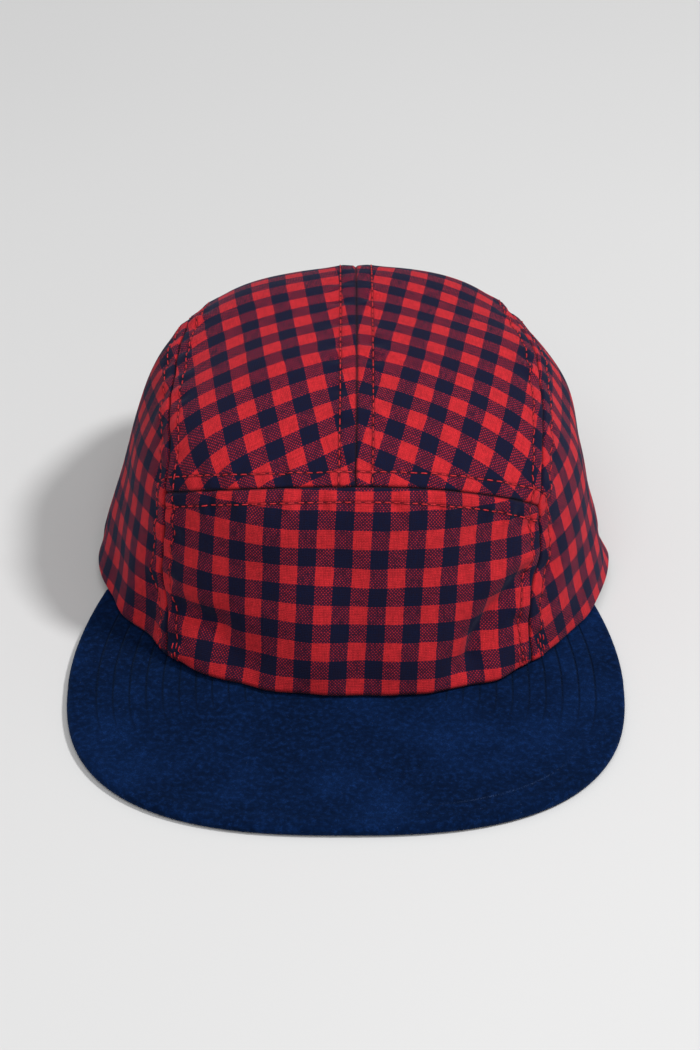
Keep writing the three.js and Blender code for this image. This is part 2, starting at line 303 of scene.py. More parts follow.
FOLDS = (
    Fold(((50, 0.265), (42, 0.265), (36, 0.22), (30, 0.14), (27, 0.08)), 7.0 * MM, 2.0 * MM),
    Fold(((47, 0.1), (37, 0.045)), 9.0 * MM, -1.0 * MM),
    Fold(((-51, 0.18), (-43, 0.186), (-34, 0.17), (-26, 0.1)), 10.0 * MM, 2.2 * MM),
    Fold(((-47, 0.09), (-38, 0.045)), 9.0 * MM, -1.2 * MM),
    Fold(((-90, 0.36), (-80, 0.28)), 22.0 * MM, 1.5 * MM),
    Fold(((74, 0.0), (80, 0.03)), 20.0 * MM, -0.9 * MM),
    Fold(((104, 0.02), (96, 0.2)), 30.0 * MM, 1.5 * MM),
    Fold(((96, 0.06), (88, 0.09)), 10.0 * MM, 1.6 * MM),
    Fold(((-92, 0.0), (-92, 0.1)), 34.0 * MM, -1.9 * MM),
    Fold(((-118, 0.62), (-105, 0.66)), 18.0 * MM, -1.2 * MM),
)
"""The folds of the CAD model."""

CREASES = (
    Fold(((44.5, 0.272), (42.6, 0.27), (35.8, 0.22), (30.6, 0.152), (29, 0.1)), 3.3 * MM, 1.9 * MM),
    Fold(((45, 0.33), (37, 0.29), (31, 0.21), (27.5, 0.14)), 5.5 * MM, -1.0 * MM),
    Fold(((-45.5, 0.187), (-43.8, 0.187), (-33.8, 0.171)), 3.6 * MM, 1.6 * MM),
    Fold(((-46, 0.24), (-37, 0.228)), 6.0 * MM, -0.8 * MM),
    Fold(((20, 0.0), (52, 0.0)), 12.0 * MM, -2.2 * MM),
    Fold(((27, 0.0), (33, 0.0)), 7.0 * MM, -1.6 * MM),
    Fold(((-46, 0.0), (-22, 0.0)), 11.0 * MM, -1.5 * MM),
)
"""Narrow creases along the two deepest folds, with the cloth swelling above them and at the hem."""


@dataclass
class CrownForm:
    """The crown's outer surface over its chart, from the same table as the CAD model."""

    axis: Span
    apex_height: float = 93.9 * MM
    apex_forward: float = 3.5 * MM
    shift_at_hem: float = 1.2 * MM
    shift_at_top: float = 2.5 * MM
    hem_lift: float = 3.9 * MM
    lift_full_deg: float = 78.0
    lift_none_deg: float = 108.0
    lift_top_level: float = 0.2
    chart_unit: float = 110.0 * MM
    slack: float = 0.19 * MM
    slack_waves: int = 8
    slack_lengths: Span = (22.0 * MM, 50.0 * MM)
    slack_seed: int = 5
    upright_level: float = 0.1
    slope_step: float = 0.001
    folds: tuple[Fold, ...] = FOLDS + CREASES
    table: CubicTable = field(init=False)

    def __post_init__(self) -> None:
        """Adds the apex and the mirrored rings past it, so that the top is round."""
        rows = np.array(RINGS)
        apex = rows[-1].copy()
        apex[:7] = (1, 0, 0, 0, *[self.apex_height / MM] * 3)
        beyond = rows[:-3:-1] * (-1, -1, -1, -1, 1, 1, 1, 1, 1) + (2, 0, 0, 0, 0, 0, 0, 0, 0)
        rows = np.vstack((rows, apex, beyond))
        rows[:, 1:7] *= MM
        self.table = CubicTable(rows[:, 0], rows[:, 1:])

    def outline_reach(self, level: Array, angle: Array) -> Array:
        """Distance from the axis to the outline: (|sin/w|^p + |cos/l|^p)^(-1/p).

        Args:
            level: Level from the hem (0) to the apex (1).
            angle: Angle from the front, in radians.

        Returns:
            The distance, with its own length and roundness ahead of and behind the axis.
        """
        columns = np.moveaxis(self.table.at(level), -1, 0)
        (half, front, back), (front_power, back_power) = columns[:3], columns[6:]
        ahead = np.cos(angle) > 0.0
        length = np.maximum(np.where(ahead, front, back), TINY)
        power = np.where(ahead, front_power, back_power)
        across = np.abs(np.sin(angle)) / np.maximum(half, TINY)
        return (across**power + (np.abs(np.cos(angle)) / length) ** power) ** (-1.0 / power)

    def smooth(self, places: Array) -> Array:
        """Points of the surface without its folds.

        The outline at the place's level gives x and y, the three height columns are mixed by
        the square of the cosine, and the brim lifts the hem at the front.

        Args:
            places: Places on the chart.

        Returns:
            Points in the frame of the model.
        """
        level = 1.0 - np.linalg.norm(places, axis=-1)
        angle = np.arctan2(places[..., 0], -places[..., 1])
        z_front, z_side, z_back = np.moveaxis(self.table.at(level)[..., 3:6], -1, 0)
        reach, cosine = self.outline_reach(level, angle), np.cos(angle)
        ahead, behind = np.maximum(cosine, 0.0) ** 2, np.maximum(-cosine, 0.0) ** 2
        around = 1.0 - smoothstep(np.abs(np.degrees(angle)), self.lift_full_deg, self.lift_none_deg)
        lift = self.hem_lift * around * np.maximum(1.0 - level / self.lift_top_level, 0.0) ** 2
        shift = self.shift_at_hem + self.shift_at_top * (1.0 - places[..., 1] ** 2)
        x = self.axis[0] + reach * np.sin(angle) + shift
        y = self.axis[1] - reach * cosine - self.apex_forward * smoothstep(level, 0.0, 1.0)
        z = z_side + (z_front - z_side) * ahead + (z_back - z_side) * behind + lift
        return np.stack((x, y, z), axis=-1)

    def unevenness(self, places: Array) -> Array:
        """Small swells of soft cloth: a sum of plane waves over the chart.

        Args:
            places: Places on the chart.

        Returns:
            Heights along the outward direction.
        """
        dice = np.random.default_rng(self.slack_seed)
        turn, phase = dice.uniform(0.0, 2.0 * np.pi, (2, self.slack_waves))
        count = 2.0 * np.pi * self.chart_unit / dice.uniform(*self.slack_lengths, self.slack_waves)
        waves = places[..., :1] * np.cos(turn) * count + places[..., 1:] * np.sin(turn) * count
        return self.slack * np.sin(waves + phase).sum(axis=-1)

    def frame(self, places: Array) -> tuple[Array, Array]:
        """Surface points with their folds, and the outward direction.

        The direction is the cross product of the two slopes over the chart, and it is turned
        level at the hem.

        Args:
            places: Places on the chart.

        Returns:
            The points and the outward directions.
        """
        over, up = self.slope_step * np.eye(2)
        slope_x = self.smooth(places + over) - self.smooth(places - over)
        slope_y = self.smooth(places + up) - self.smooth(places - up)
        outward = unit(np.cross(slope_x, slope_y))
        level = 1.0 - np.linalg.norm(places, axis=-1)
        outward[..., 2] *= smoothstep(level, 0.0, self.upright_level)
        outward = unit(outward)
        press = sum(fold.press(places, self.chart_unit) for fold in self.folds)
        return self.smooth(places) - outward * press[..., None], outward

    def at_depth(self, places: Array, depth: Array | float) -> Array:
        """Points at a depth under the outer surface."""
        points, outward = self.frame(places)
        return points - outward * np.asarray(depth)[..., None]


def curve_through(stops: Array) -> Walk:
    """Walk along a Catmull-Rom curve, which passes its stops after equal shares.

    Args:
        stops: Places on the chart.

    Returns:
        The walk.
    """
    padded = np.vstack((stops[:1], stops, stops[-1:]))

    def walk(t: Array) -> Array:
        """Place at a share of the walk, by the cubic through four neighbouring stops.

        Args:
            t: Shares of the walk.

        Returns:
            Places on the chart.
        """
        whole = np.asarray(t) * (len(stops) - 1)
        k = np.clip(whole.astype(int), 0, len(stops) - 2)
        w = (whole - k)[..., None]
        a, b, c, d = (padded[k + shift] for shift in range(4))
        first, last = (c - a) / 2.0, (d - b) / 2.0
        cubic = 2.0 * b - 2.0 * c + first + last
        square = -3.0 * b + 3.0 * c - 2.0 * first - last
        return ((cubic * w + square) * w + first) * w + b
    return walk


@dataclass(frozen=True)
class SeamPlan:
    """Where the seams and edges run over the chart, each a walk from 0 to 1."""

    front_level: float = 0.564
    front_power: float = 3.0
    opening_half_deg: float = 22.5
    opening_level: float = 0.3
    opening_share: float = 0.39
    left_edge: Stops = ((45.8, 0), (47.8, 0.11), (51, 0.176), (53.6, 0.225), (53.9, 0.3),
                        (54.7, 0.395), (56.4, 0.464))
    right_edge: Stops = ((43.8, 0), (44.5, 0.12), (46.2, 0.205), (48.6, 0.257), (50.9, 0.295),
                         (52, 0.36), (52.6, 0.444))
    side_stops: Stops = ((64, 0.59), (80, 0.655), (100, 0.669), (120, 0.648), (137, 0.55),
                         (149, 0.39))

    def edge(self, side: Side) -> Stops:
        """Angle and level along the seam beside the front panel, from the hem to the corner."""
        return self.left_edge if side is Side.LEFT else self.right_edge

    def edge_stops(self, side: Side) -> Array:
        """Places of that seam on the chart."""
        deg, level = np.array(self.edge(side)).T
        return chart(side.value * deg, level)

    def hem_seam_deg(self, side: Side) -> float:
        """Angle at which that seam meets the hem."""
        return side.value * self.edge(side)[0][0]

    def hem(self, start: float, end: float) -> Walk:
        """Walk along the hem between two angles."""
        return lambda t: chart(start + (end - start) * t, np.zeros_like(t))

    def front_seam(self, side: Side) -> Walk:
        """Walk along the cross seam from the middle to a corner, falling with a power of t.

        Args:
            side: Side of the corner.

        Returns:
            The walk.
        """
        deg, level = self.edge(side)[-1]
        drop = self.front_level - level
        return lambda t: chart(side.value * deg * t, self.front_level - drop * t**self.front_power)

    def front_edge(self, side: Side) -> Walk:
        """Walk up the seam beside the front panel, from the hem to the corner."""
        return curve_through(self.edge_stops(side))

    def whole_front_seam(self) -> Walk:
        """Walk along the cross seam from its left corner to its right one.

        Returns:
            The walk.
        """
        left, right = self.front_seam(Side.LEFT), self.front_seam(Side.RIGHT)

        def walk(t: Array) -> Array:
            """Place at a share of the walk, by its distance from the middle."""
            from_middle = np.abs(2.0 * t - 1.0)
            return np.where(t[..., None] < 0.5, left(from_middle), right(from_middle))
        return walk

    def centre_seam(self) -> Walk:
        """Walk along the middle from the cross seam over the top to the opening."""
        start, end = 1.0 - self.front_level, 1.0 - self.opening_level
        return lambda t: np.stack((np.zeros_like(t), -start + (start + end) * t), axis=-1)

    def opening(self, side: Side, start: float, end: float) -> Walk:
        """Walk along the half-round opening between two shares of its quarter turn.

        Args:
            side: Side of the opening.
            start: Share where the walk starts, 0 at the hem.
            end: Share where it ends, 1 at the middle of the back.

        Returns:
            The walk.
        """
        def walk(t: Array) -> Array:
            """Place at a share of the walk: an ellipse over angle and level.

            Args:
                t: Shares of the walk.

            Returns:
                Places on the chart.
            """
            turn = (start + (end - start) * t) * np.pi / 2.0
            deg = 180.0 - self.opening_half_deg * np.cos(turn)
            return chart(side.value * deg, self.opening_level * np.sin(turn))
        return walk

    def side_seam(self, side: Side) -> Walk:
        """Walk along the seam between a top and a side panel, from the corner to the opening.

        Args:
            side: Side of the panels.

        Returns:
            The walk.
        """
        deg, level = np.array(self.side_stops).T
        middle = chart(side.value * deg, level)
        end = self.opening(side, 0.0, 1.0)(np.array([self.opening_share]))
        return curve_through(np.vstack((self.edge_stops(side)[-1:], middle, end)))


def turned(walk: Walk) -> Walk:
    """The same walk from its other end."""
    return lambda t: walk(1.0 - t)


@dataclass(frozen=True)
class Wire:
    """A number on a socket of a material; arithmetic on it adds Math nodes."""

    tree: bpy.types.NodeTree
    socket: bpy.types.NodeSocket

    def math(self, operation: str, *others: "Wire | float") -> "Wire":
        """Adds one Math node.

        Args:
            operation: Blender's name of the operation.
            others: The other numbers it takes.

        Returns:
            The result.
        """
        node = self.tree.nodes.new("ShaderNodeMath")
        node.operation = operation
        for slot, value in zip(node.inputs, (self, *others)):
            if isinstance(value, Wire):
                self.tree.links.new(value.socket, slot)
            else:
                slot.default_value = value
        return Wire(self.tree, node.outputs[0])

    def __add__(self, other: "Wire | float") -> "Wire":
        """Sum."""
        return self.math("ADD", other)

    def __sub__(self, other: "Wire | float") -> "Wire":
        """Difference."""
        return self.math("SUBTRACT", other)

    def __mul__(self, other: "Wire | float") -> "Wire":
        """Product."""
        return self.math("MULTIPLY", other)

    def __truediv__(self, other: "Wire | float") -> "Wire":
        """Quotient."""
        return self.math("DIVIDE", other)

    def __mod__(self, other: float) -> "Wire":
        """Rest after whole steps, never negative."""
        return self.math("FLOORED_MODULO", other)

    def __gt__(self, other: "Wire | float") -> "Wire":
        """One where it is greater, else zero."""
        return self.math("GREATER_THAN", other)

    def floor(self) -> "Wire":
        """Whole part."""
        return self.math("FLOOR")

    def sine(self) -> "Wire":
        """Sine."""
        return self.math("SINE")

    def size(self) -> "Wire":
        """Value without its sign."""
        return self.math("ABSOLUTE")

    def bell(self, middle: "Wire | float", width: float) -> "Wire":
        """Bell of height one: exp(-((x - middle) / width)^2)."""
        away = (self - middle) / width
        return (away * away * -1.0).math("EXPONENT")

    def ramp(self, low: float, high: float) -> "Wire":
        """S-shaped rise: 3t^2 - 2t^3.

        Args:
            low: Where it is 0.
            high: Where it is 1.

        Returns:
            The rise.
        """
        node = self.tree.nodes.new("ShaderNodeMapRange")
        node.interpolation_type = "SMOOTHSTEP"
        self.tree.links.new(self.socket, node.inputs["Value"])
        node.inputs["From Min"].default_value = low
        node.inputs["From Max"].default_value = high
        return Wire(self.tree, node.outputs["Result"])


@dataclass(frozen=True)
class Grain:
    """Soft noise: features for each metre, octaves, and the weight of the finer octaves."""

    scale: float
    detail: float = 2.0
    roughness: float = 0.5


@dataclass(frozen=True)
class Relief:
    """Fine relief of a finish: its real height, and the share of it that is used."""

    height: float
    share: float = 1.0


class Paint:
    """One Principled material, built node by node."""

    MIX_SHARE, MIX_FIRST, MIX_SECOND, MIX_RESULT = 0, 6, 7, 2
    """Sockets of a Mix node that mixes colours."""

    def __init__(self, name: str, **sockets: float | Color) -> None:
        """Starts the material with constant values on the shader's own sockets.

        Args:
            name: Name of the material.
            sockets: Values by socket name, with _ for spaces.
        """
        self.material = bpy.data.materials.new(name)
        self.material.use_nodes = True
        self.tree = self.material.node_tree
        self.shader = self.tree.nodes["Principled BSDF"]
        for key, value in sockets.items():
            socket = self.shader.inputs[key.replace("_", " ")]
            socket.default_value = (*value, 1.0) if isinstance(value, tuple) else value

    def place(self) -> bpy.types.NodeSocket:
        """Object coordinates, in metres."""
        return self.tree.nodes.new("ShaderNodeTexCoord").outputs["Object"]

    def flat(self, name: str = "cloth") -> tuple[bpy.types.NodeSocket, Wire, Wire]:
        """A UV map, as a vector and as its two numbers in metres.

        Args:
            name: Name of the map. The map "cloth" is the flat position on the cloth.

        Returns:
            The vector, and its two numbers.
        """
        node = self.tree.nodes.new("ShaderNodeUVMap")
        node.uv_map = name
        parts = self.tree.nodes.new("ShaderNodeSeparateXYZ")
        self.tree.links.new(node.outputs["UV"], parts.inputs[0])
        first, second = (Wire(self.tree, parts.outputs[axis]) for axis in "XY")
        return node.outputs["UV"], first, second

    def noise(self, vector: bpy.types.NodeSocket, grain: Grain) -> tuple[Wire, Wire]:
        """Soft noise on a vector.

        Args:
            vector: Coordinates it is read at.
            grain: How fine it is.

        Returns:
            Two numbers from 0 to 1 that don't follow each other.
        """
        node = self.tree.nodes.new("ShaderNodeTexNoise")
        self.tree.links.new(vector, node.inputs["Vector"])
        node.inputs["Scale"].default_value = grain.scale
        node.inputs["Detail"].default_value = grain.detail
        node.inputs["Roughness"].default_value = grain.roughness
        parts = self.tree.nodes.new("ShaderNodeSeparateColor")
        self.tree.links.new(node.outputs["Color"], parts.inputs[0])
        first, second = (Wire(self.tree, parts.outputs[part]) for part in ("Red", "Green"))
        return first, second

    def drawn(self, vector: bpy.types.NodeSocket, factors: Color) -> bpy.types.NodeSocket:
        """Multiplies the three numbers of a vector, which draws noise out into streaks.

        Args:
            vector: The vector.
            factors: What each number is multiplied by.

        Returns:
            The socket of the new vector.
        """
        node = self.tree.nodes.new("ShaderNodeVectorMath")
        node.operation = "MULTIPLY"
        self.tree.links.new(vector, node.inputs[0])
        node.inputs[1].default_value = factors
        return node.outputs[0]

    def dice(self, number: Wire) -> Wire:
        """A number from 0 to 1 that differs from one whole number to the next.

        Args:
            number: The whole number.

        Returns:
            The other number.
        """
        node = self.tree.nodes.new("ShaderNodeTexWhiteNoise")
        node.noise_dimensions = "1D"
        self.tree.links.new(number.socket, node.inputs["W"])
        return Wire(self.tree, node.outputs["Value"])

    def mix(self, share: Wire, first: "bpy.types.NodeSocket | Color",
            second: "bpy.types.NodeSocket | Color") -> bpy.types.NodeSocket:
        """Mixes two colours.

        Args:
            share: Share of the second colour.
            first: Colour at share 0.
            second: Colour at share 1.

        Returns:
            The socket of the mixed colour.
        """
        node = self.tree.nodes.new("ShaderNodeMix")
        node.data_type = "RGBA"
        self.tree.links.new(share.socket, node.inputs[self.MIX_SHARE])
        for number, value in ((self.MIX_FIRST, first), (self.MIX_SECOND, second)):
            if isinstance(value, tuple):
                node.inputs[number].default_value = (*value, 1.0)
            else:
                self.tree.links.new(value, node.inputs[number])
        return node.outputs[self.MIX_RESULT]

    def color(self, socket: bpy.types.NodeSocket) -> None:
        """Sets the base colour."""
        self.tree.links.new(socket, self.shader.inputs["Base Color"])

    def rough(self, value: Wire) -> None:
        """Sets the roughness."""
        self.tree.links.new(value.socket, self.shader.inputs["Roughness"])

    def bump(self, height: Wire, relief: Relief) -> None:
        """Adds relief on top of any relief that is already there.

        Args:
            height: Height from 0 to 1.
            relief: How high it really is.
        """
        node = self.tree.nodes.new("ShaderNodeBump")
        node.inputs["Strength"].default_value = relief.share
        node.inputs["Distance"].default_value = relief.height
        self.tree.links.new(height.socket, node.inputs["Height"])
        slot = self.shader.inputs["Normal"]
        if slot.is_linked:
            self.tree.links.new(slot.links[0].from_socket, node.inputs["Normal"])
        self.tree.links.new(node.outputs["Normal"], slot)


@dataclass(frozen=True)
class Gingham:
    """Plain-weave cotton in red and navy checks.

    Covers say which yarn comes out on top. Shades are shares of the deep tone: of single yarns,
    of their thick places and of the wide sway of the cloth, which differ at random, and of the
    gaps between the yarns, which is painted shade.
    """

    red: Color = (0.645, 0.023, 0.030)
    navy: Color = (0.0034, 0.0068, 0.030)
    deep: Color = (0.010, 0.004, 0.008)
    sheen: Color = (0.50, 0.56, 0.90)
    check_across: float = 5.95 * MM
    check_up: float = 6.7 * MM
    yarns: int = 11
    navy_cover: float = 0.61
    weft_cover: float = -0.055
    slub_cover: float = 1.1
    fuzz: float = 0.09
    sway: Grain = Grain(55.0, 1.0)
    sway_yarns: float = 1.7
    wander: Grain = Grain(420.0)
    wander_yarns: float = 0.7
    slub: Grain = Grain(1100.0)
    slub_draw: float = 0.25
    slub_tones: Span = (0.3, 0.7)
    gap_width: float = 0.45
    yarn_shade: float = 0.10
    slub_shade: float = 0.30
    sway_shade: float = 0.06
    gap_shade: float = 0.20
    yarn_relief: Relief = Relief(0.10 * MM, 0.7)
    wander_relief: Relief = Relief(0.12 * MM, 0.5)
    row_width: float = 0.45 * MM
    seam_width: float = 0.42 * MM
    seam_shade_share: float = 0.80

    def material(self) -> bpy.types.Material:
        """Weaves the cloth yarn by yarn.

        A yarn is navy where its check number is odd. The warp shows where the product of the
        two sines over the yarn numbers is above a bound, else the weft. The bound favours the
        navy yarns, which are the fuller ones, and the thick places of each yarn.

        Returns:
            The material, which reads the flat position in metres.
        """
        paint = Paint("gingham_cotton", Roughness=0.95, Specular_IOR_Level=0.10, Sheen_Weight=0.055,
                      Sheen_Roughness=0.5, Sheen_Tint=self.sheen)
        flat, across, up = paint.flat()
        sway_x, sway_y = paint.noise(flat, self.sway)
        wander_x, wander_y = paint.noise(flat, self.wander)
        x = self.yarn_number(across, self.check_across, sway_x, wander_x)
        y = self.yarn_number(up, self.check_up, sway_y, wander_y)
        warp, weft = x.floor(), y.floor()
        warp_navy, weft_navy = ((number / self.yarns).floor() % 2.0 for number in (warp, weft))
        weave = (x * np.pi).sine() * (y * np.pi).sine()
        warp_slub, _ = paint.noise(paint.drawn(flat, (1.0, self.slub_draw, 1.0)), self.slub)
        weft_slub, _ = paint.noise(paint.drawn(flat, (self.slub_draw, 1.0, 1.0)), self.slub)
        bound = (weft_navy - warp_navy) * self.navy_cover + self.weft_cover
        warp_shows = weave > bound + (weft_slub - warp_slub) * self.slub_cover
        navy, yarn, slub = (below + (above - below) * warp_shows for below, above in (
            (weft_navy, warp_navy), (weft, warp), (weft_slub, warp_slub)))
        blend = navy * (1.0 - 2.0 * self.fuzz) + (warp_navy + weft_navy) * self.fuzz
        cloth = paint.mix(blend, self.red, self.navy)
        # Painted shade: the cloth darkens in the gaps where the yarns part.
        gaps = weave.size().ramp(0.0, self.gap_width) * -1.0 + 1.0
        shade = (paint.dice(yarn) * self.yarn_shade + slub.ramp(*self.slub_tones) * self.slub_shade
                 + sway_y * self.sway_shade + gaps * self.gap_shade)
        # Painted shade along the seams, their rows of stitches and the hem's folded edge, over the
        # cloth's own tones.
        paint.color(paint.mix(self.painted_seam_shade(paint), paint.mix(shade, cloth, self.deep), self.deep))
        paint.bump(weave.size(), self.yarn_relief)
        paint.bump(wander_y, self.wander_relief)
        return paint.material

    def yarn_number(self, run: Wire, check: float, sway: Wire, wander: Wire) -> Wire:
        """Number of a yarn, counted along the cloth with a wide sway and a narrow one.

        Args:
            run: Length along the cloth.
            check: Length of a check.
            sway: Wide sway, from 0 to 1.
            wander: Narrow sway, from 0 to 1.

        Returns:
            The number, with the share of the yarn behind the point.
        """
        swayed = run * (self.yarns / check) + (sway - 0.5) * self.sway_yarns
        return swayed + (wander - 0.5) * self.wander_yarns

    def painted_seam_shade(self, paint: Paint) -> Wire:
        """Painted shade: dark lines in the cloth along the seams, their rows of stitches and the
        hem's folded edge, each as a bell.

        Args:
            paint: The paint of the cloth, whose row maps hold the distances from the rows.

        Returns:
            Share of the painted shade from 0 to 1.
        """
        past = [row for name in ROW_MAPS for row in paint.flat(name)[1:]]
        rows = [row.bell(0.0, self.row_width) for row in past]
        seams = [row.bell(-SEAM_ROW, self.seam_width) for row in past]
        return sum(rows + seams[1:], seams[0]).math("MINIMUM", 1.0) * self.seam_shade_share


@dataclass(frozen=True)
class SewnRows:
    """Rows sewn through the brim along its outer edge, which fade out towards the front."""

    first: float = 9.8 * MM
    gap: float = 5.55 * MM
    fade: Span = (92.0 * MM, 142.0 * MM)


@dataclass(frozen=True)
class Suede:
    """Navy suede cloth with a brushed, blotchy nap, sewn through in rows.

    Pairs of numbers say where a noise starts to show and where it shows in full.
    """

    deep: Color = (0.0006, 0.0042, 0.019)
    mid: Color = (0.0015, 0.0105, 0.048)
    pale: Color = (0.0080, 0.0400, 0.175)
    speck: Color = (0.16, 0.20, 0.28)
    groove_shade_tone: Color = (0.0006, 0.002, 0.008)
    stitch_tone: Color = (0.05, 0.09, 0.20)
    sheen: Color = (0.15, 0.40, 1.0)
    blotch: Grain = Grain(34.0, 4.0, 0.6)
    brush: Grain = Grain(520.0, 3.0, 0.65)
    fine: Grain = Grain(2400.0, 2.0, 0.6)
    nap_blotch: Span = (0.32, 0.70)
    nap_blotch_share: float = 0.40
    nap_brush: Span = (0.3, 0.72)
    nap_brush_share: float = 0.60
    lit_blotch: Span = (0.45, 0.75)
    lit_blotch_share: float = 0.20
    lit_brush: Span = (0.45, 0.8)
    lit_brush_share: float = 0.44
    lit_fine: Span = (0.3, 0.72)
    lint_from: float = 0.78
    lint_share: float = 0.7
    rows: SewnRows = SewnRows()
    row_sway: float = 0.1
    row_width: float = 0.06
    groove_wear: Span = (0.2, 0.6)
    groove_shade: float = 0.85
    stitch_inward: float = 0.6 * MM
    stitch_width: float = 0.35 * MM
    stitch_middle: float = 60.0 * MM
    stitch_reach: float = 26.0 * MM
    stitch_wear: Span = (0.45, 0.7)
    stitch_share: float = 0.45
    fine_relief: Relief = Relief(0.16 * MM, 0.8)
    brush_relief: Relief = Relief(0.30 * MM, 0.6)
    groove_relief: Relief = Relief(0.45 * MM)

    def material(self) -> bpy.types.Material:
        """Lays three sizes of noise over each other, with sewn rows along the outer edge.

        The UV map holds the length along the edge and the distance from it. The rows are dark
        lines of painted shade in their grooves that fade out towards the front, where only the
        outermost shows as pale stitches.

        Returns:
            The material.
        """
        paint = Paint("navy_suede", Roughness=0.95, Specular_IOR_Level=0.04, Sheen_Weight=0.07,
                      Sheen_Roughness=0.5, Sheen_Tint=self.sheen)
        place = paint.place()
        blotch, _ = paint.noise(place, self.blotch)
        brushed, _ = paint.noise(place, self.brush)
        fine, lint = paint.noise(place, self.fine)
        nap = (blotch.ramp(*self.nap_blotch) * self.nap_blotch_share
               + brushed.ramp(*self.nap_brush) * self.nap_brush_share)
        lit = (blotch.ramp(*self.lit_blotch) * self.lit_blotch_share
               + brushed.ramp(*self.lit_brush) * self.lit_brush_share) * fine.ramp(*self.lit_fine)
        tone = paint.mix(lit, paint.mix(nap, self.deep, self.mid), self.pale)
        _, along, inward = paint.flat()
        rows = self.rows
        row = ((inward - rows.first) / rows.gap + (brushed - 0.5) * self.row_sway + 0.5) % 1.0
        line = row.bell(0.5, self.row_width) * (inward > rows.first - rows.gap / 2.0)
        groove = line * along.size().ramp(*rows.fade) * brushed.ramp(*self.groove_wear)
        # Painted shade in the sewn grooves.
        tone = paint.mix(groove * self.groove_shade, tone, self.groove_shade_tone)
        stitches = (inward.bell(rows.first + self.stitch_inward, self.stitch_width)
                    * along.bell(self.stitch_middle, self.stitch_reach))
        worn = stitches * fine.ramp(*self.stitch_wear) * self.stitch_share
        tone = paint.mix(worn, tone, self.stitch_tone)
        paint.color(paint.mix((lint > self.lint_from) * self.lint_share, tone, self.speck))
        paint.bump(fine, self.fine_relief)
        paint.bump(brushed, self.brush_relief)
        paint.bump(groove * -1.0, self.groove_relief)
        return paint.material


@dataclass(frozen=True)
class Thread:
    """Matt twisted sewing thread."""

    light: Color = (0.60, 0.030, 0.038)
    dark: Color = (0.26, 0.010, 0.016)
    twist: Grain = Grain(2600.0)
    twist_tones: Span = (0.3, 0.7)
    relief: Relief = Relief(0.06 * MM, 0.6)

    def material(self) -> bpy.types.Material:
        """Red thread whose tone changes along its twist.

        Returns:
            The material.
        """
        paint = Paint("red_thread", Roughness=0.6, Specular_IOR_Level=0.15)
        twist, other = paint.noise(paint.place(), self.twist)
        paint.color(paint.mix(twist.ramp(*self.twist_tones), self.dark, self.light))
        paint.bump(other, self.relief)
        return paint.material


@dataclass(frozen=True)
class Webbing:
    """Matt navy webbing with fine cross ribs."""

    dark: Color = (0.008, 0.011, 0.030)
    light: Color = (0.022, 0.030, 0.072)
    rib: float = 1.1 * MM
    yarn: float = 0.55 * MM
    yarn_lean: float = 2.0
    rib_share: float = 0.6
    rib_shade_share: float = 0.7
    fuzz: Grain = Grain(1500.0)
    relief: Relief = Relief(0.2 * MM)

    def material(self) -> bpy.types.Material:
        """Ribs across the strap as a sine over its length, crossed by fine yarns, with painted shade
        in their hollows.

        Returns:
            The material, which reads the flat position in metres.
        """
        paint = Paint("navy_webbing", Roughness=0.8, Specular_IOR_Level=0.25, Sheen_Weight=0.12)
        flat, along, up = paint.flat()
        fuzz, _ = paint.noise(flat, self.fuzz)
        ribs = (along * (2.0 * np.pi / self.rib)).sine() * 0.5 + 0.5
        yarns = (up * (2.0 * np.pi / self.yarn) + ribs * self.yarn_lean).sine() * 0.5 + 0.5
        height = ribs * self.rib_share + yarns * (1.0 - self.rib_share)
        # Painted shade: the tone darkens where the ribs and yarns fall, mixed with random fuzz.
        tone = height * self.rib_shade_share + fuzz * (1.0 - self.rib_shade_share)
        paint.color(paint.mix(tone, self.dark, self.light))
        paint.bump(height, self.relief)
        return paint.material


@dataclass(frozen=True)
class MattPlastic:
    """Dark moulded plastic with a fine spark-eroded grain."""

    dark: Color = (0.010, 0.011, 0.014)
    light: Color = (0.020, 0.022, 0.027)
    grain: Grain = Grain(3200.0)
    least_rough: float = 0.38
    rough_span: float = 0.18
    relief: Relief = Relief(0.03 * MM, 0.6)

    def material(self) -> bpy.types.Material:
        """Fine grain in colour, roughness and relief.

        Returns:
            The material.
        """
        paint = Paint("matt_plastic", Specular_IOR_Level=0.5)
        grain, cloud = paint.noise(paint.place(), self.grain)
        paint.color(paint.mix(grain, self.dark, self.light))
        paint.rough(cloud * self.rough_span + self.least_rough)
        paint.bump(grain, self.relief)
        return paint.material


@dataclass(frozen=True)
class Paper:
    """Pale studio paper."""

    light: Color = (0.655, 0.655, 0.655)
    dark: Color = (0.63, 0.63, 0.63)
    cloud: Grain = Grain(4.0, 1.0)

    def material(self) -> bpy.types.Material:
        """Faint clouds.

        Returns:
            The material.
        """
        paint = Paint("studio_paper", Roughness=0.95, Specular_IOR_Level=0.05)
        cloud, _ = paint.noise(paint.place(), self.cloud)
        paint.color(paint.mix(cloud, self.dark, self.light))
        return paint.material


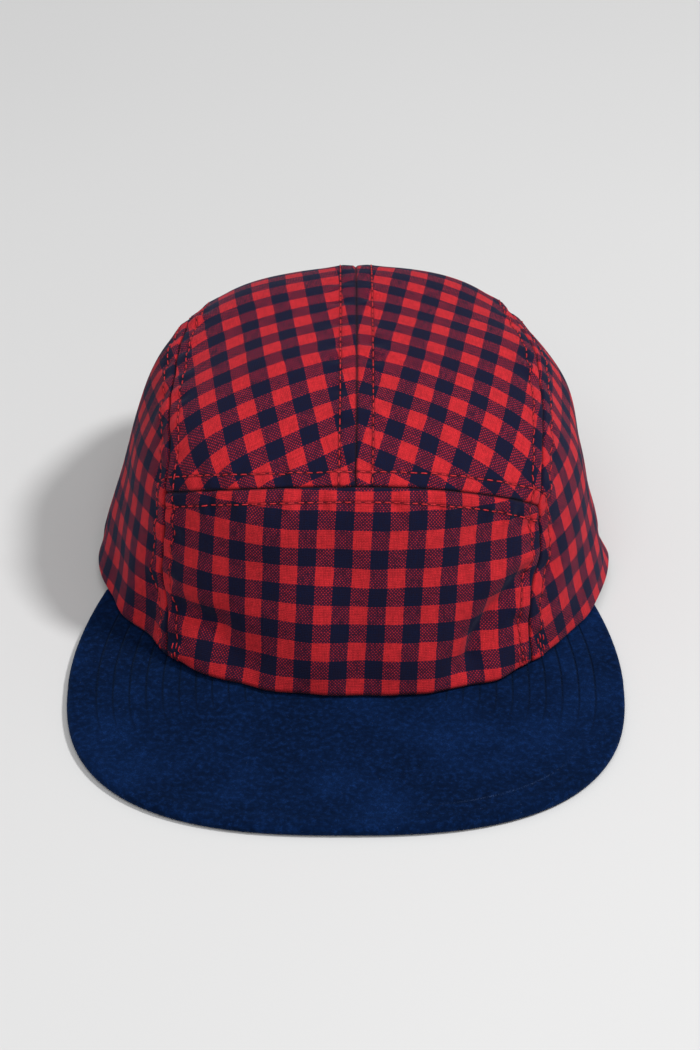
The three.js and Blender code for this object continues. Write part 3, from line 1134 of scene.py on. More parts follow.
@dataclass(frozen=True)
class SeamStyle:
    """Relief of a sewn edge: a valley, a raised allowance and a dipped row of stitches."""

    valley_width: float = 1.15 * MM
    lift: float = 0.24 * MM
    lift_fade: Span = (0.1 * MM, 1.5 * MM)
    dip: float = 0.34 * MM
    dip_width: float = 0.7 * MM
    dip_beat: float = 0.25
    pucker: float = 0.22 * MM
    pucker_width: float = 3.6 * MM
    pucker_waves: int = 6
    pucker_lengths: Span = (6.0 * MM, 19.0 * MM)
    pucker_turn: float = 6.28
    pitch: float = STITCH_PITCH
    hem_turn: float = 2.0 * MM
    hem_width: float = 2.8 * MM

    def relief(self, edge: "PanelEdge", away: Array, run: Array, seed: int) -> Array:
        """Height of the cloth beside an edge.

        The valley falls with the square of the distance to the edge, and so does a hem's turn.
        The allowance is lifted as far as the stitches, which dip in a bell whose depth beats with
        their pitch. Puckers are a sum of sines along the edge.

        Args:
            edge: The edge.
            away: Distance of each point from the edge.
            run: Length along the edge of the nearest place.
            seed: Number that sets the puckers.

        Returns:
            Heights along the outward direction.
        """
        row = edge.row
        if edge.kind is EdgeKind.HEM:
            return -self.hem_turn * np.maximum(1.0 - away / self.hem_width, 0.0) ** 2
        valley = edge.valley * np.maximum(1.0 - away / self.valley_width, 0.0) ** 2
        fade_start, fade_end = self.lift_fade
        lift = self.lift * (1.0 - smoothstep(away, row + fade_start, row + fade_end))
        beat = 1.0 - self.dip_beat + self.dip_beat * np.cos(2.0 * np.pi * run / self.pitch)
        dip = self.dip * np.exp(-(((away - row) / self.dip_width) ** 2)) * beat
        dice = np.random.default_rng(seed)
        lengths = dice.uniform(*self.pucker_lengths, self.pucker_waves)
        phases = dice.uniform(0.0, self.pucker_turn, self.pucker_waves)
        waves = np.sin(2.0 * np.pi * run[..., None] / lengths + phases).sum(axis=-1)
        pucker = self.pucker * np.exp(-(((away - row) / self.pucker_width) ** 2)) * waves
        return lift - valley - dip + pucker


@dataclass(frozen=True)
class StitchStyle:
    """A lockstitch: short lengths of thread that dive into the cloth at both ends."""

    pitch: float = STITCH_PITCH
    length: float = 2.5 * MM
    radius: float = 0.21 * MM
    end_taper: float = 0.8
    flatness: float = 1.15
    rise: float = 0.16 * MM
    dive: float = 0.42 * MM
    stations: int = 7
    sides: int = 6

    def along(self, path: Array, outward: Array) -> tuple[Array, Array]:
        """Lays stitches along a path on the cloth.

        Each stitch is a six-sided tube over a share a from -1 to 1 of its length: its middle
        line falls with a^4 and its radius shrinks towards the ends.

        Args:
            path: Points on the cloth.
            outward: Outward direction at each of them.

        Returns:
            Points and quads of all the stitches.
        """
        runs = run_lengths(path)
        count = max(int(round(runs[-1] / self.pitch)), 1)
        share = np.linspace(-1.0, 1.0, self.stations)
        where = ((np.arange(count) + 0.5) * runs[-1] / count)[:, None] + share * self.length / 2.0
        spine = lay_along(path, runs, where)
        up = unit(lay_along(outward, runs, where))
        ahead = unit(np.gradient(spine, axis=1))
        beside = np.cross(up, ahead)
        turn = np.linspace(0.0, 2.0 * np.pi, self.sides, endpoint=False)
        radius = self.radius * np.sqrt(1.0 - self.end_taper * share**4)[:, None]
        height = (self.rise - self.dive * share**4)[:, None] + radius * np.sin(turn)
        width = self.flatness * radius * np.cos(turn)
        points = (spine[:, :, None, :] + up[:, :, None, :] * height[None, :, :, None]
                  + beside[:, :, None, :] * width[None, :, :, None])
        return points.reshape(-1, 3), self.faces(count)

    def faces(self, count: int) -> Array:
        """Quads of a number of stitches, with two quads over each six-sided end.

        Args:
            count: Number of stitches.

        Returns:
            The quads, facing outwards.
        """
        ring = np.arange(self.stations * self.sides).reshape(self.stations, self.sides)
        after = np.roll(ring, -1, axis=1)
        tube = np.stack((ring[:-1], after[:-1], after[1:], ring[1:]), axis=-1).reshape(-1, 4)
        halves = np.array(((0, 1, 2, 3), (0, 3, 4, 5)))
        one = np.concatenate((tube, ring[0][halves[:, ::-1]], ring[-1][halves]))
        return (one[None] + np.arange(count)[:, None, None] * ring.size).reshape(-1, 4)


def join_parts(parts: list[tuple[Array, Array]]) -> tuple[Array, Array]:
    """Joins several sets of points and quads into one.

    Args:
        parts: Points and quads of each set.

    Returns:
        All points, and all quads with their vertex numbers moved on.
    """
    starts = np.cumsum([0] + [len(points) for points, _ in parts[:-1]])
    faces = [quads + start for (_, quads), start in zip(parts, starts)]
    return np.concatenate([points for points, _ in parts]), np.concatenate(faces)


@dataclass(frozen=True)
class PanelEdge:
    """One edge of a panel: its walk over the chart, its finish and its row of stitches.

    Tacks are short rows beside the foot of that row, at these distances from it.
    """

    walk: Walk
    kind: EdgeKind
    row: float = SEAM_ROW
    valley: float = 1.05 * MM
    tacks: tuple[float, ...] = ()


def flatten(points: Array, rows: int, columns: int, rounds: int = 80) -> Array:
    """Flattens a curved panel with the least stretch, as the cloth lay before it was sewn.

    A coarse net of triangles starts out as walked lengths. In each round every triangle takes
    the turn that suits its corners best, and the points then settle between their triangles,
    whose edges weigh by the cotangent of the angle across. Flat places are complex numbers.

    Args:
        points: Grid of points.
        rows: Rows of the coarse net.
        columns: Points in a row of the net.
        rounds: How often the turns and the points are worked out.

    Returns:
        Flat places, shaped as the grid, with the first point at 0.
    """
    picks = [np.linspace(0, size - 1, count).round().astype(int)
             for size, count in zip(points.shape, (rows, columns))]
    net = points[np.ix_(*picks)]
    index = np.arange(rows * columns).reshape(rows, columns)
    a, b, c, d = index[:-1, :-1], index[:-1, 1:], index[1:, 1:], index[1:, :-1]
    halves = ((a, b, c), (a, c, d), (a, b, d), (b, c, d))
    start = np.concatenate([np.stack(half, axis=-1).reshape(-1, 3) for half in halves])
    end = np.roll(start, -1, axis=1)
    first, second, third = np.moveaxis(net.reshape(-1, 3)[start], 1, 0)
    base, other = second - first, third - first
    length = np.linalg.norm(base, axis=-1)
    foot = (base * other).sum(axis=-1) / length
    height = np.sqrt((other**2).sum(axis=-1) - foot**2)
    shape = np.stack((0.0 * length, length, foot + 1j * height), axis=-1)
    after, before = np.roll(shape, -1, axis=1), np.roll(shape, 1, axis=1)
    corner = (after - before) * np.conj(shape - before)
    weight = corner.real / np.abs(corner.imag)
    pull = np.zeros((index.size, index.size))
    for one, two in ((start, end), (end, start)):
        np.add.at(pull, (one, one), weight)
        np.add.at(pull, (one, two), -weight)
    pull[0, 0] += 1.0
    settle = np.linalg.inv(pull)
    step_x = np.linalg.norm(np.diff(net, axis=1, prepend=net[:, :1]), axis=-1)
    step_y = np.linalg.norm(np.diff(net, axis=0, prepend=net[:1]), axis=-1)
    place = (np.cumsum(step_x, axis=1) + 1j * np.cumsum(step_y, axis=0)).ravel()
    for _ in range(rounds):
        edges = place[start] - place[end]
        turn = (weight * np.conj(shape - after) * edges).sum(axis=1, keepdims=True)
        want = weight * (shape - after) * turn / np.abs(turn)
        force = np.zeros(index.size, dtype=complex)
        np.add.at(force, start, want)
        np.add.at(force, end, -want)
        place = settle @ force
    flat = CubicTable(picks[0], place.reshape(rows, columns)).at(np.arange(points.shape[0]))
    return CubicTable(picks[1], flat.T).at(np.arange(points.shape[1])).T


@dataclass(frozen=True)
class Cut:
    """How a panel lies on the cloth it was cut from, and how sewing pulled its yarns.

    The angles stand between the panel's grain line and the two sets of yarns, which are out of
    square where the cloth is pulled over the top. Phase is where the checks start.
    """

    warp_deg: float
    weft_deg: float
    stretch: Span = (1.0, 1.0)
    phase: Span = (0.0, 0.0)


@dataclass
class Panel:
    """A sewn cloth panel over a patch of the crown.

    The grid has columns along the foot and rows up the sides, and the net is a coarser one, rows
    first, for flattening. Rows of stitches stay clear of the other seams.
    """

    name: str
    form: CrownForm
    plan: SeamPlan
    cut: Cut
    seed: int
    columns: int = 216
    rows: int = 112
    net: tuple[int, int] = (23, 43)
    thick: float = 1.2 * MM
    ease: float = 0.5
    edge_steps: int = 1400
    row_clear: float = 0.5 * MM
    tack_run: Span = (1.5 * MM, 9.5 * MM)
    least_area: float = 0.31
    seam: SeamStyle = SeamStyle()
    stitch: StitchStyle = StitchStyle()
    outer: Array = field(init=False, repr=False)
    outward: Array = field(init=False, repr=False)
    away: dict[Border, Array] = field(init=False, repr=False)
    flat_size: Span = field(init=False)

    def edges(self) -> dict[Border, PanelEdge]:
        """The four edges of the panel, by border."""
        raise NotImplementedError

    def grain(self, place: Array) -> complex:
        """Line on the flattened grid that the cut of the panel is measured from."""
        raise NotImplementedError

    def layout(self, points: Array) -> Array:
        """Flat position of each grid point on the cloth that it was cut from.

        The flattened panel is turned until its grain line stands at the angle of the cut, once
        for each set of yarns.

        Args:
            points: Grid of points.

        Returns:
            Positions across and along the grain, in metres.
        """
        place = flatten(points, *self.net)
        line = self.grain(place)
        level = place * np.conj(line) / np.abs(line)
        warp, weft = np.exp(1j * np.radians((self.cut.warp_deg, self.cut.weft_deg)))
        across, along = (level * warp).real, (level * weft).imag
        self.flat_size = float(np.ptp(across)), float(np.ptp(along))
        return np.stack((across, along), axis=-1) * self.cut.stretch + self.cut.phase

    def places(self) -> Array:
        """Places on the chart, by blending the four edges and taking off their corners.

        Returns:
            A grid of places.
        """
        walks = {border: edge.walk for border, edge in self.edges().items()}
        u, v = eased(self.columns, self.ease), eased(self.rows, self.ease)
        ends = np.array((0.0, 1.0))
        low, high = walks[Border.BOTTOM](u), walks[Border.TOP](u)
        left, right = walks[Border.LEFT](v), walks[Border.RIGHT](v)
        foot, head = walks[Border.BOTTOM](ends), walks[Border.TOP](ends)
        u, v = u[None, :, None], v[:, None, None]
        blend = (1 - v) * low[None] + v * high[None] + (1 - u) * left[:, None] + u * right[:, None]
        corners = (1 - u) * (1 - v) * foot[0] + u * (1 - v) * foot[1]
        return blend - corners - (1 - u) * v * head[0] - u * v * head[1]

    def build(self, cloth: bpy.types.Material,
              thread: bpy.types.Material) -> list[bpy.types.Object]:
        """Args:
            cloth: Finish of the panel.
            thread: Finish of the stitches.

        Returns:
            The panel and the stitches.
        """
        places = self.places()
        points, self.outward = self.form.frame(places)
        swell = self.form.unevenness(places)
        relief, hem, self.away = swell.copy(), np.zeros_like(swell), {}
        walk = np.linspace(0.0, 1.0, self.edge_steps)
        for number, (border, edge) in enumerate(self.edges().items()):
            line, _ = self.form.frame(edge.walk(walk))
            away, run = distance_to_path(points, line)
            self.away[border] = away
            height = self.seam.relief(edge, away, run, 10 * self.seed + number)
            relief += height
            hem += height * (edge.kind is EdgeKind.HEM)
        self.outer = points + self.outward * relief[..., None]
        inner = points + self.outward * (np.minimum(swell, 0.0) + hem - self.thick)[..., None]
        flat = self.layout(points)
        panel = make_piece(f"{self.name}_cloth", np.stack((self.outer, inner)),
                           shell_faces(self.columns, self.rows), cloth,
                           cloth=np.stack((flat, flat)), **self.row_maps())
        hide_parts(self.name)
        stitches = make_piece(f"{self.name}_stitches", *self.stitching(), thread)
        self.declare()
        return [panel, stitches]

    def row_maps(self) -> dict[str, Array]:
        """Distances past the rows of stitches along the four edges, two in each UV map.

        They are drawn to the same scale, so that every seam lies SEAM_ROW before its row. At the
        hem it is half the distance from the folded edge itself, where painted shade darkens the
        turned edge.

        Returns:
            Distances of the outer and the inner points, by the name of the map.
        """
        def from_row(border: Border) -> Array:
            """Distance past the row along one edge. The inner side has no rows.

            Args:
                border: The edge.

            Returns:
                Distances of the outer and the inner points.
            """
            edge, away = self.edges()[border], self.away[border]
            past = away / 2.0 if edge.kind is EdgeKind.HEM else (away / edge.row - 1.0) * SEAM_ROW
            return np.stack((past, np.full_like(away, NOT_SEWN)))

        pairs = ((Border.LEFT, Border.RIGHT), (Border.BOTTOM, Border.TOP))
        return {name: np.stack([from_row(border) for border in pair], axis=-1)
                for name, pair in zip(ROW_MAPS, pairs)}

    def declare(self) -> None:
        """Works out its area, half the cross product of the diagonals summed over the grid and held
        between a least share of the cut size and the whole of it. Nothing is done with the area.
        """
        width, length = self.flat_size
        rising = self.outer[1:, 1:] - self.outer[:-1, :-1]
        falling = self.outer[1:, :-1] - self.outer[:-1, 1:]
        area = 0.5 * np.linalg.norm(np.cross(rising, falling), axis=-1).sum()
        area = float(np.clip(area, self.least_area * width * length, width * length))

    def row_path(self, border: Border, row: float) -> tuple[Array, Array]:
        """Path at a distance from one edge.

        Walking in from the edge, the path crosses each grid line where the distance first
        reaches the row, and it stops short of the other seams.

        Args:
            border: The edge.
            row: Distance from it.

        Returns:
            Points on the cloth and the outward directions there.
        """
        def from_edge(values: Array) -> Array:
            """Turns the grid so that its first axis starts at the edge.

            Args:
                values: Values on the grid.

            Returns:
                The turned grid.
            """
            if border in (Border.LEFT, Border.RIGHT):
                values = values.swapaxes(0, 1)
            return values[::-1] if border in (Border.TOP, Border.RIGHT) else values

        away = from_edge(self.away[border])
        others = [from_edge(other) for key, other in self.away.items() if key is not border]
        k = np.clip((away >= row).argmax(axis=0), 1, None)
        line = np.arange(away.shape[1])
        share = ((row - away[k - 1, line]) / (away[k, line] - away[k - 1, line]))[:, None]
        clear = np.min([other[k, line] for other in others], axis=0) > self.row_clear
        keep = (away.max(axis=0) > row) & clear
        outer, outward = from_edge(self.outer), from_edge(self.outward)
        path = outer[k - 1, line] * (1 - share) + outer[k, line] * share
        return path[keep], outward[k, line][keep]

    def stitching(self) -> tuple[Array, Array]:
        """Sews a row along every edge but the hem, and the tacks at the foot of some.

        Returns:
            Points and quads of the stitches.
        """
        edges = self.edges().items()
        sewn = [(border, edge) for border, edge in edges if edge.kind is not EdgeKind.HEM]
        rows = [self.row_path(border, edge.row) for border, edge in sewn]
        for border, edge in sewn:
            for aside in edge.tacks:
                path, outward = self.row_path(border, edge.row + aside)
                run = run_lengths(path)
                foot = (run > self.tack_run[0]) & (run < self.tack_run[1])
                rows.append((path[foot], outward[foot]))
        return join_parts([self.stitch.along(*row) for row in rows])


@dataclass
class FrontPanel(Panel):
    """Low wide panel from the hem to the cross seam, cut on the straight grain."""

    columns: int = 190

    def edges(self) -> dict[Border, PanelEdge]:
        """Hem below, cross seam above, a side panel on either hand.

        Returns:
            The edges, by border.
        """
        plan = self.plan
        return {
            Border.BOTTOM: PanelEdge(plan.hem(*map(plan.hem_seam_deg, Side)), EdgeKind.HEM),
            Border.TOP: PanelEdge(plan.whole_front_seam(), EdgeKind.SEAM, CROSS_ROW),
            Border.LEFT: PanelEdge(plan.front_edge(Side.LEFT), EdgeKind.SEAM, tacks=TACKS),
            Border.RIGHT: PanelEdge(plan.front_edge(Side.RIGHT), EdgeKind.SEAM, tacks=TACKS),
        }

    def grain(self, place: Array) -> complex:
        """The middle column, from the hem to the cross seam."""
        return (place[-1] - place[0])[self.columns // 2]


@dataclass
class TopPanel(Panel):
    """Long panel from the cross seam over the top to the opening, cut with a bent inner edge."""

    columns: int = 112
    rows: int = 216
    net: tuple[int, int] = (43, 23)
    centre_valley: float = 0.7 * MM
    side: Side = Side.RIGHT

    def edges(self) -> dict[Border, PanelEdge]:
        """Cross seam below, opening above, centre seam and side seam on either hand.

        Returns:
            The edges, by border.
        """
        front, seam = self.plan.front_seam(self.side), self.plan.side_seam(self.side)
        back = turned(self.plan.opening(self.side, self.plan.opening_share, 1.0))
        centre = self.plan.centre_seam()
        left = PanelEdge(centre, EdgeKind.SEAM, CENTRE_ROW, self.centre_valley)
        right = PanelEdge(seam, EdgeKind.SEAM)
        if self.side is Side.LEFT:
            front, back, left, right = turned(front), turned(back), right, left
        return {
            Border.BOTTOM: PanelEdge(front, EdgeKind.SEAM, CROSS_ROW),
            Border.TOP: PanelEdge(back, EdgeKind.BOUND, CROSS_ROW),
            Border.LEFT: left,
            Border.RIGHT: right,
        }

    def grain(self, place: Array) -> complex:
        """The front half of the centre seam."""
        seam = place[:, 0 if self.side is Side.RIGHT else -1]
        return seam[self.rows // 2] - seam[0]


@dataclass
class SidePanel(Panel):
    """Panel from the front panel round to the opening, cut on the straight grain."""

    side: Side = Side.RIGHT

    def edges(self) -> dict[Border, PanelEdge]:
        """Hem below, side seam above, front panel and opening on either hand.

        Returns:
            The edges, by border.
        """
        plan, sign = self.plan, self.side.value
        hem = plan.hem(plan.hem_seam_deg(self.side), sign * (180.0 - plan.opening_half_deg))
        seam = plan.side_seam(self.side)
        front = PanelEdge(plan.front_edge(self.side), EdgeKind.SEAM, tacks=TACKS)
        opening = plan.opening(self.side, 0.0, plan.opening_share)
        back = PanelEdge(opening, EdgeKind.BOUND, CROSS_ROW)
        if self.side is Side.LEFT:
            hem, seam, front, back = turned(hem), turned(seam), back, front
        return {
            Border.BOTTOM: PanelEdge(hem, EdgeKind.HEM),
            Border.TOP: PanelEdge(seam, EdgeKind.SEAM),
            Border.LEFT: front,
            Border.RIGHT: back,
        }

    def grain(self, place: Array) -> complex:
        """The front half of the hem."""
        hem = place[0] if self.side is Side.RIGHT else place[0, ::-1]
        return hem[self.columns // 2] - hem[0]


@dataclass
class Brim:
    """Flat board covered in suede cloth, with a rolled edge, run in under the hem."""

    form: CrownForm
    half_width: float = 93.7 * MM
    reach: float = 63.8 * MM
    widest_back: float = 13.2 * MM
    front_power: float = 2.65
    front_share: float = 0.72
    corner_half_width: float = 84.6 * MM
    corner_back: float = 62.0 * MM
    taper_power: float = 1.8
    corner_deg: float = 76.0
    tuck: float = 6.0 * MM
    thick: float = 3.6 * MM
    roll: float = 1.8 * MM
    roll_start: float = 0.08
    sewn: SewnRows = SewnRows()
    rib: float = 0.07 * MM
    ridge: float = 0.20 * MM
    ridge_inward: float = 4.2 * MM
    ridge_width: float = 1.4 * MM
    relief_fade: Span = (2.0 * MM, 4.0 * MM)
    edge_steps: int = 4000
    columns: int = 420
    rows: int = 88
    row_power: float = 1.35

    def outer_edge(self, t: Array) -> Array:
        """Outer edge from its left corner (-1) round the front (0) to its right corner (1).

        The front is a rounded ellipse, x = w sin^(2/p), y = l cos^(2/p). The sides then taper
        with a power of their share.

        Args:
            t: Shares of the walk.

        Returns:
            Points x, y from the crown's axis.
        """
        hem_front = -self.form.table.values[0, 1]
        widest, share = hem_front + self.widest_back, np.abs(t) / self.front_share
        turn, power = np.minimum(share, 1.0) * np.pi / 2.0, 2.0 / self.front_power
        front_y = widest - (self.reach + self.widest_back) * np.maximum(np.cos(turn), 0.0) ** power
        back = np.maximum((np.abs(t) - self.front_share) / (1.0 - self.front_share), 0.0)
        taper = (self.half_width - self.corner_half_width) * back**self.taper_power
        side_y = widest + (hem_front + self.corner_back - widest) * back
        x = np.where(share <= 1.0, self.half_width * np.sin(turn) ** power, self.half_width - taper)
        return np.stack((np.sign(t) * x, np.where(share <= 1.0, front_y, side_y)), axis=-1)

    def inner_edge(self, t: Array) -> Array:
        """Inner edge, a little inside the hem's outline at the same share of the corner angle.

        Args:
            t: Shares of the walk.

        Returns:
            Points x, y from the crown's axis.
        """
        angle = np.radians(self.corner_deg * t)
        reach = self.form.outline_reach(np.zeros_like(t), angle) - self.tuck
        return np.stack((reach * np.sin(angle), -reach * np.cos(angle)), axis=-1)

    def build(self, suede: bpy.types.Material) -> bpy.types.Object:
        """Makes the brim as straight rulings between its two edges.

        Height is half the thickness times a quarter ellipse over the rolled edge. Soft ribs
        between the sewn rows are a cosine over the distance from the outer edge, and a low ridge
        beside the front edge is a bell.

        Args:
            suede: Finish of the brim.

        Returns:
            The brim.
        """
        even = np.linspace(-1.0, 1.0, self.edge_steps + 1)
        edge = self.outer_edge(even)
        runs = run_lengths(edge)
        t = np.interp(np.linspace(0.0, runs[-1], self.columns + 1), runs, even)
        outer, inner = self.outer_edge(t), self.inner_edge(t)
        share = (np.linspace(0.0, 1.0, self.rows + 1) ** self.row_power)[:, None, None]
        flat = outer[None] * (1.0 - share) + inner[None] * share
        inward, along = distance_to_path(flat, edge)
        along = along - runs[-1] / 2.0
        side = smoothstep(np.abs(along), *self.sewn.fade)
        wave = np.cos(2.0 * np.pi * (inward - self.sewn.first) / self.sewn.gap)
        bell = np.exp(-(((inward - self.ridge_inward) / self.ridge_width) ** 2))
        relief = self.ridge * bell * (1.0 - side) - self.rib * side * wave
        rolled = np.sqrt(1.0 - (1.0 - np.clip(inward / self.roll, 0.0, 1.0)) ** 2)
        rolled = self.roll_start + (1.0 - self.roll_start) * rolled
        top = self.thick / 2.0 * (1.0 + rolled) + relief * smoothstep(inward, *self.relief_fade)
        bottom = self.thick / 2.0 * (1.0 - rolled)
        place = flat + np.array(self.form.axis)
        points = np.stack([np.concatenate((place, z[..., None]), axis=-1) for z in (top, bottom)])
        uv = np.stack((along, inward), axis=-1)
        brim = make_piece("brim_suede", points, shell_faces(self.columns, self.rows), suede,
                          cloth=np.stack((uv, uv)))
        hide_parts("brim")
        return brim


@dataclass
class BackStrap:
    """Webbing strap just inside the cloth across the opening, straight in section."""

    form: CrownForm
    half_deg: float = 30.0
    low_level: float = 0.025
    high_level: float = 0.155
    depth: float = 1.8 * MM
    thick: float = 1.4 * MM
    edge_thin: float = 0.3 * MM
    edge_power: int = 8
    columns: int = 120
    rows: int = 16

    def build(self, webbing: bpy.types.Material) -> bpy.types.Object:
        """Makes the strap as straight rulings between two levels, a little thinner at its edges.

        Args:
            webbing: Finish of the strap.

        Returns:
            The strap.
        """
        deg = 180.0 + self.half_deg * np.linspace(-1.0, 1.0, self.columns + 1)
        share = np.linspace(0.0, 1.0, self.rows + 1)[:, None]
        thin = self.edge_thin * np.abs(2.0 * share - 1.0) ** self.edge_power
        levels = (self.low_level, self.high_level)
        low, high = (chart(deg, np.full_like(deg, level)) for level in levels)

        def wall(depth: float, draw: Array) -> Array:
            """One face of the strap.

            Args:
                depth: Its depth under the crown's surface.
                draw: How far it is drawn in, for each row.

            Returns:
                A grid of points.
            """
            foot, head = self.form.at_depth(low, depth), self.form.at_depth(high, depth)
            _, outward = self.form.frame((low + high) / 2.0)
            ruled = foot * (1 - share[..., None]) + head * share[..., None]
            return ruled - draw[..., None] * outward

        outer, inner = wall(self.depth, thin), wall(self.depth + self.thick, -thin)
        along = np.broadcast_to(run_lengths(outer[0]), outer.shape[:2])
        up = np.linalg.norm(outer - outer[:1], axis=-1)
        uv = np.stack((along, up), axis=-1)
        strap = make_piece("back_strap_webbing", np.stack((outer, inner)),
                           shell_faces(self.columns, self.rows), webbing, cloth=np.stack((uv, uv)))
        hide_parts("back_strap")
        return strap


@dataclass
class StrapSlider:
    """Flat plastic sleeve round the strap."""

    form: CrownForm
    strap: BackStrap
    half_deg: float = 4.0
    wall: float = 1.5 * MM
    gap: float = 0.3 * MM
    rim_level: float = 0.016
    slot_level: float = 0.004
    steps: int = 12
    edge_round: float = 0.45 * MM
    edge_segments: int = 3

    def build(self, plastic: bpy.types.Material) -> bpy.types.Object:
        """Carries a rectangular ring along the strap and rounds its edges.

        Args:
            plastic: Finish of the slider.

        Returns:
            The slider.
        """
        near, far = self.strap.depth - self.gap, self.strap.depth + self.strap.thick + self.gap

        def section(over: float, out: float) -> list[Span]:
            """Level and depth of a ring's corners, this far past the strap's levels and the gap."""
            low, high = self.strap.low_level - over, self.strap.high_level + over
            return [(low, near - out), (high, near - out), (high, far + out), (low, far + out)]

        rings = section(self.rim_level, self.wall) + section(self.slot_level, 0.0)
        level, depth = np.array(rings).T
        deg = 180.0 + self.half_deg * np.linspace(-1.0, 1.0, self.steps + 1)
        deg, level = np.meshgrid(deg, level, indexing="ij")
        points = self.form.at_depth(chart(deg, level), depth)
        outside, inside = np.moveaxis(np.arange(level.size).reshape(-1, 2, 4), 1, 0)
        next_out, next_in = np.roll(outside, -1, axis=1), np.roll(inside, -1, axis=1)
        faces = np.concatenate([part.reshape(-1, 4) for part in (
            np.stack((outside[:-1], outside[1:], next_out[1:], next_out[:-1]), axis=-1),
            np.stack((inside[:-1], next_in[:-1], next_in[1:], inside[1:]), axis=-1),
            np.stack((outside[0], next_out[0], next_in[0], inside[0]), axis=-1),
            np.stack((outside[-1], inside[-1], next_in[-1], next_out[-1]), axis=-1),
        )])
        slider = make_piece("strap_slider_sleeve", points, faces, plastic)
        bevel = slider.modifiers.new("edges", "BEVEL")
        bevel.width, bevel.segments = self.edge_round, self.edge_segments
        bevel.limit_method = "ANGLE"
        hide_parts("strap_slider")
        return slider


@dataclass(frozen=True)
class SoftLight:
    """A round soft light: where it hangs from the crown's axis, its width and its watts."""

    name: str
    start: Place
    size: float
    power: float


@dataclass
class Studio:
    """Pale floor, soft light from the upper right and front, and the camera."""

    form: CrownForm
    target: Place = (1.41 * MM, -37.0 * MM, 43.0 * MM)
    elevation_deg: float = 36.0
    distance: float = 1.0
    lens: float = 101.1
    sensor: float = 36.0
    floor_half: float = 3.0
    floor_drop: float = 0.2 * MM
    key: SoftLight = SoftLight("key", (1.10, -0.38, 1.73), 0.30, 30.0)
    fill: SoftLight = SoftLight("fill", (-0.15, -1.45, 2.1), 1.9, 27.0)
    lit_point: Place = (0.0, 0.0, 40.0 * MM)
    dome: float = 0.34

    def point(self, offset: Place) -> Vector:
        """A point given from the crown's axis."""
        return Vector((self.form.axis[0] + offset[0], self.form.axis[1] + offset[1], offset[2]))

    def floor(self, paper: bpy.types.Material) -> bpy.types.Object:
        """Lays the floor just under the cap.

        Args:
            paper: Finish of the floor.

        Returns:
            The floor.
        """
        s, z = self.floor_half, -self.floor_drop
        points = np.array(((-s, -s, z), (s, -s, z), (s, s, z), (-s, s, z)))
        mesh = bpy.data.meshes.new("floor")
        mesh.from_pydata(points, [], [(0, 1, 2, 3)])
        mesh.materials.append(paper)
        floor = bpy.data.objects.new("floor", mesh)
        bpy.context.scene.collection.objects.link(floor)
        return floor

    def hang(self, soft: SoftLight) -> None:
        """Hangs a soft light that faces the crown.

        Args:
            soft: The light.
        """
        data = bpy.data.lights.new(soft.name, "AREA")
        data.shape, data.size, data.energy = "DISK", soft.size, soft.power
        light = bpy.data.objects.new(soft.name, data)
        light.location = self.point(soft.start)
        light.rotation_mode = "QUATERNION"
        towards = self.point(self.lit_point) - light.location
        light.rotation_quaternion = towards.to_track_quat("-Z", "Y")
        bpy.context.scene.collection.objects.link(light)

    def lights(self) -> None:
        """Hangs the key and the fill, and sets the even light of the room."""
        self.hang(self.key)
        self.hang(self.fill)
        world = bpy.data.worlds.new("room")
        world.use_nodes = True
        background = world.node_tree.nodes["Background"]
        background.inputs["Color"].default_value = (1.0, 1.0, 1.0, 1.0)
        background.inputs["Strength"].default_value = self.dome
        bpy.context.scene.world = world
        bpy.context.scene.view_settings.view_transform = "Standard"

    def camera(self) -> None:
        """Stands the camera ahead of the brim, looking down at the crown."""
        data = bpy.data.cameras.new("camera")
        data.lens, data.sensor_width = self.lens, self.sensor
        camera = bpy.data.objects.new("camera", data)
        tilt = np.radians(self.elevation_deg)
        back = Vector((0.0, -float(np.cos(tilt)), float(np.sin(tilt))))
        camera.location = self.point(self.target) + back * self.distance
        camera.rotation_mode = "QUATERNION"
        camera.rotation_quaternion = (-back).to_track_quat("-Z", "Y")
        bpy.context.scene.collection.objects.link(camera)
        bpy.context.scene.camera = camera


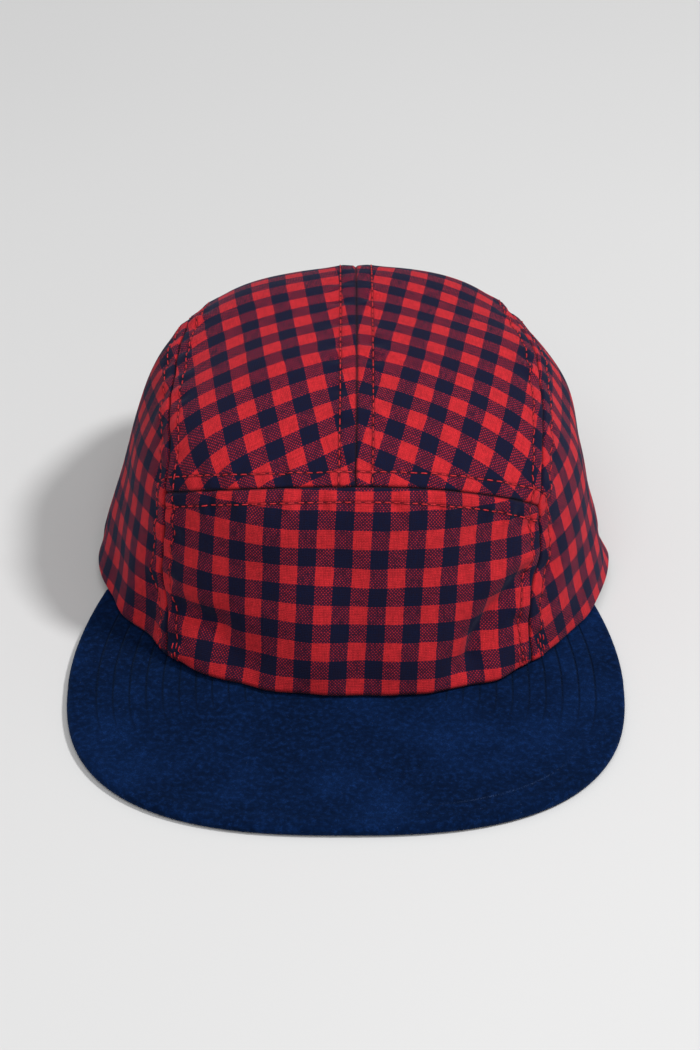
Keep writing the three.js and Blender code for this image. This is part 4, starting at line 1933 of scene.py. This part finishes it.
CUTS = {
    "front_panel": Cut(90.0, 88.5, phase=(6.0 * MM, 2.35 * MM)),
    "top_panel_left": Cut(80.5, 68.0, (0.97, 1.06), (1.7 * MM, 10.85 * MM)),
    "top_panel_right": Cut(101.0, 111.5, (0.98, 1.07), (1.85 * MM, 10.45 * MM)),
    "side_panel_left": Cut(172.0, 172.5, (1.03, 1.05), (1.65 * MM, 5.5 * MM)),
    "side_panel_right": Cut(-4.5, -4.0, (1.15, 0.99), (1.5 * MM, 3.75 * MM)),
}
"""Cut of each panel: the angles set the slope of its checks."""


@dataclass
class Cap:
    """The whole cap, in the order in which it is made."""

    form: CrownForm
    plan: SeamPlan = SeamPlan()

    def panels(self) -> list[Panel]:
        """The five panels of the crown: the front one, the top ones and the side ones.

        Returns:
            The panels, with seeds that count up from 1.
        """
        name = "front_panel"
        made: list[Panel] = [FrontPanel(name, self.form, self.plan, CUTS[name], 1)]
        for kind, part in ((TopPanel, "top"), (SidePanel, "side")):
            for side in Side:
                name = f"{part}_panel_{side.name.lower()}"
                made.append(kind(name, self.form, self.plan, CUTS[name], len(made) + 1, side=side))
        return made

    def build(self) -> list[bpy.types.Object]:
        """Makes and dresses every piece.

        Returns:
            The pieces.
        """
        cloth, thread = Gingham().material(), Thread().material()
        pieces = [Brim(self.form).build(Suede().material())]
        for panel in self.panels():
            pieces += panel.build(cloth, thread)
        strap = BackStrap(self.form)
        pieces.append(strap.build(Webbing().material()))
        pieces.append(StrapSlider(self.form, strap).build(MattPlastic().material()))
        return pieces


def crown_axis() -> Span:
    """Place of the crown's axis, from the box of the brim's solid.

    Returns:
        x in the middle of the brim, and y behind its front by the brim's reach and the hem's.
    """
    low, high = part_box("brim")
    return (low.x + high.x) / 2.0, low.y + (RINGS[0][2] * MM + Brim.reach)


def main() -> None:
    """Builds the cap and its studio."""
    logging.basicConfig(level=logging.INFO, format="%(name)s: %(message)s")
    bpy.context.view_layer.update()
    form = CrownForm(crown_axis())
    studio = Studio(form)
    studio.camera()
    for piece in Cap(form).build():
        LOG.info("%s: %d faces", piece.name, len(piece.data.polygons))
    studio.floor(Paper().material())
    studio.lights()


if __name__ == "__main__":
    main()
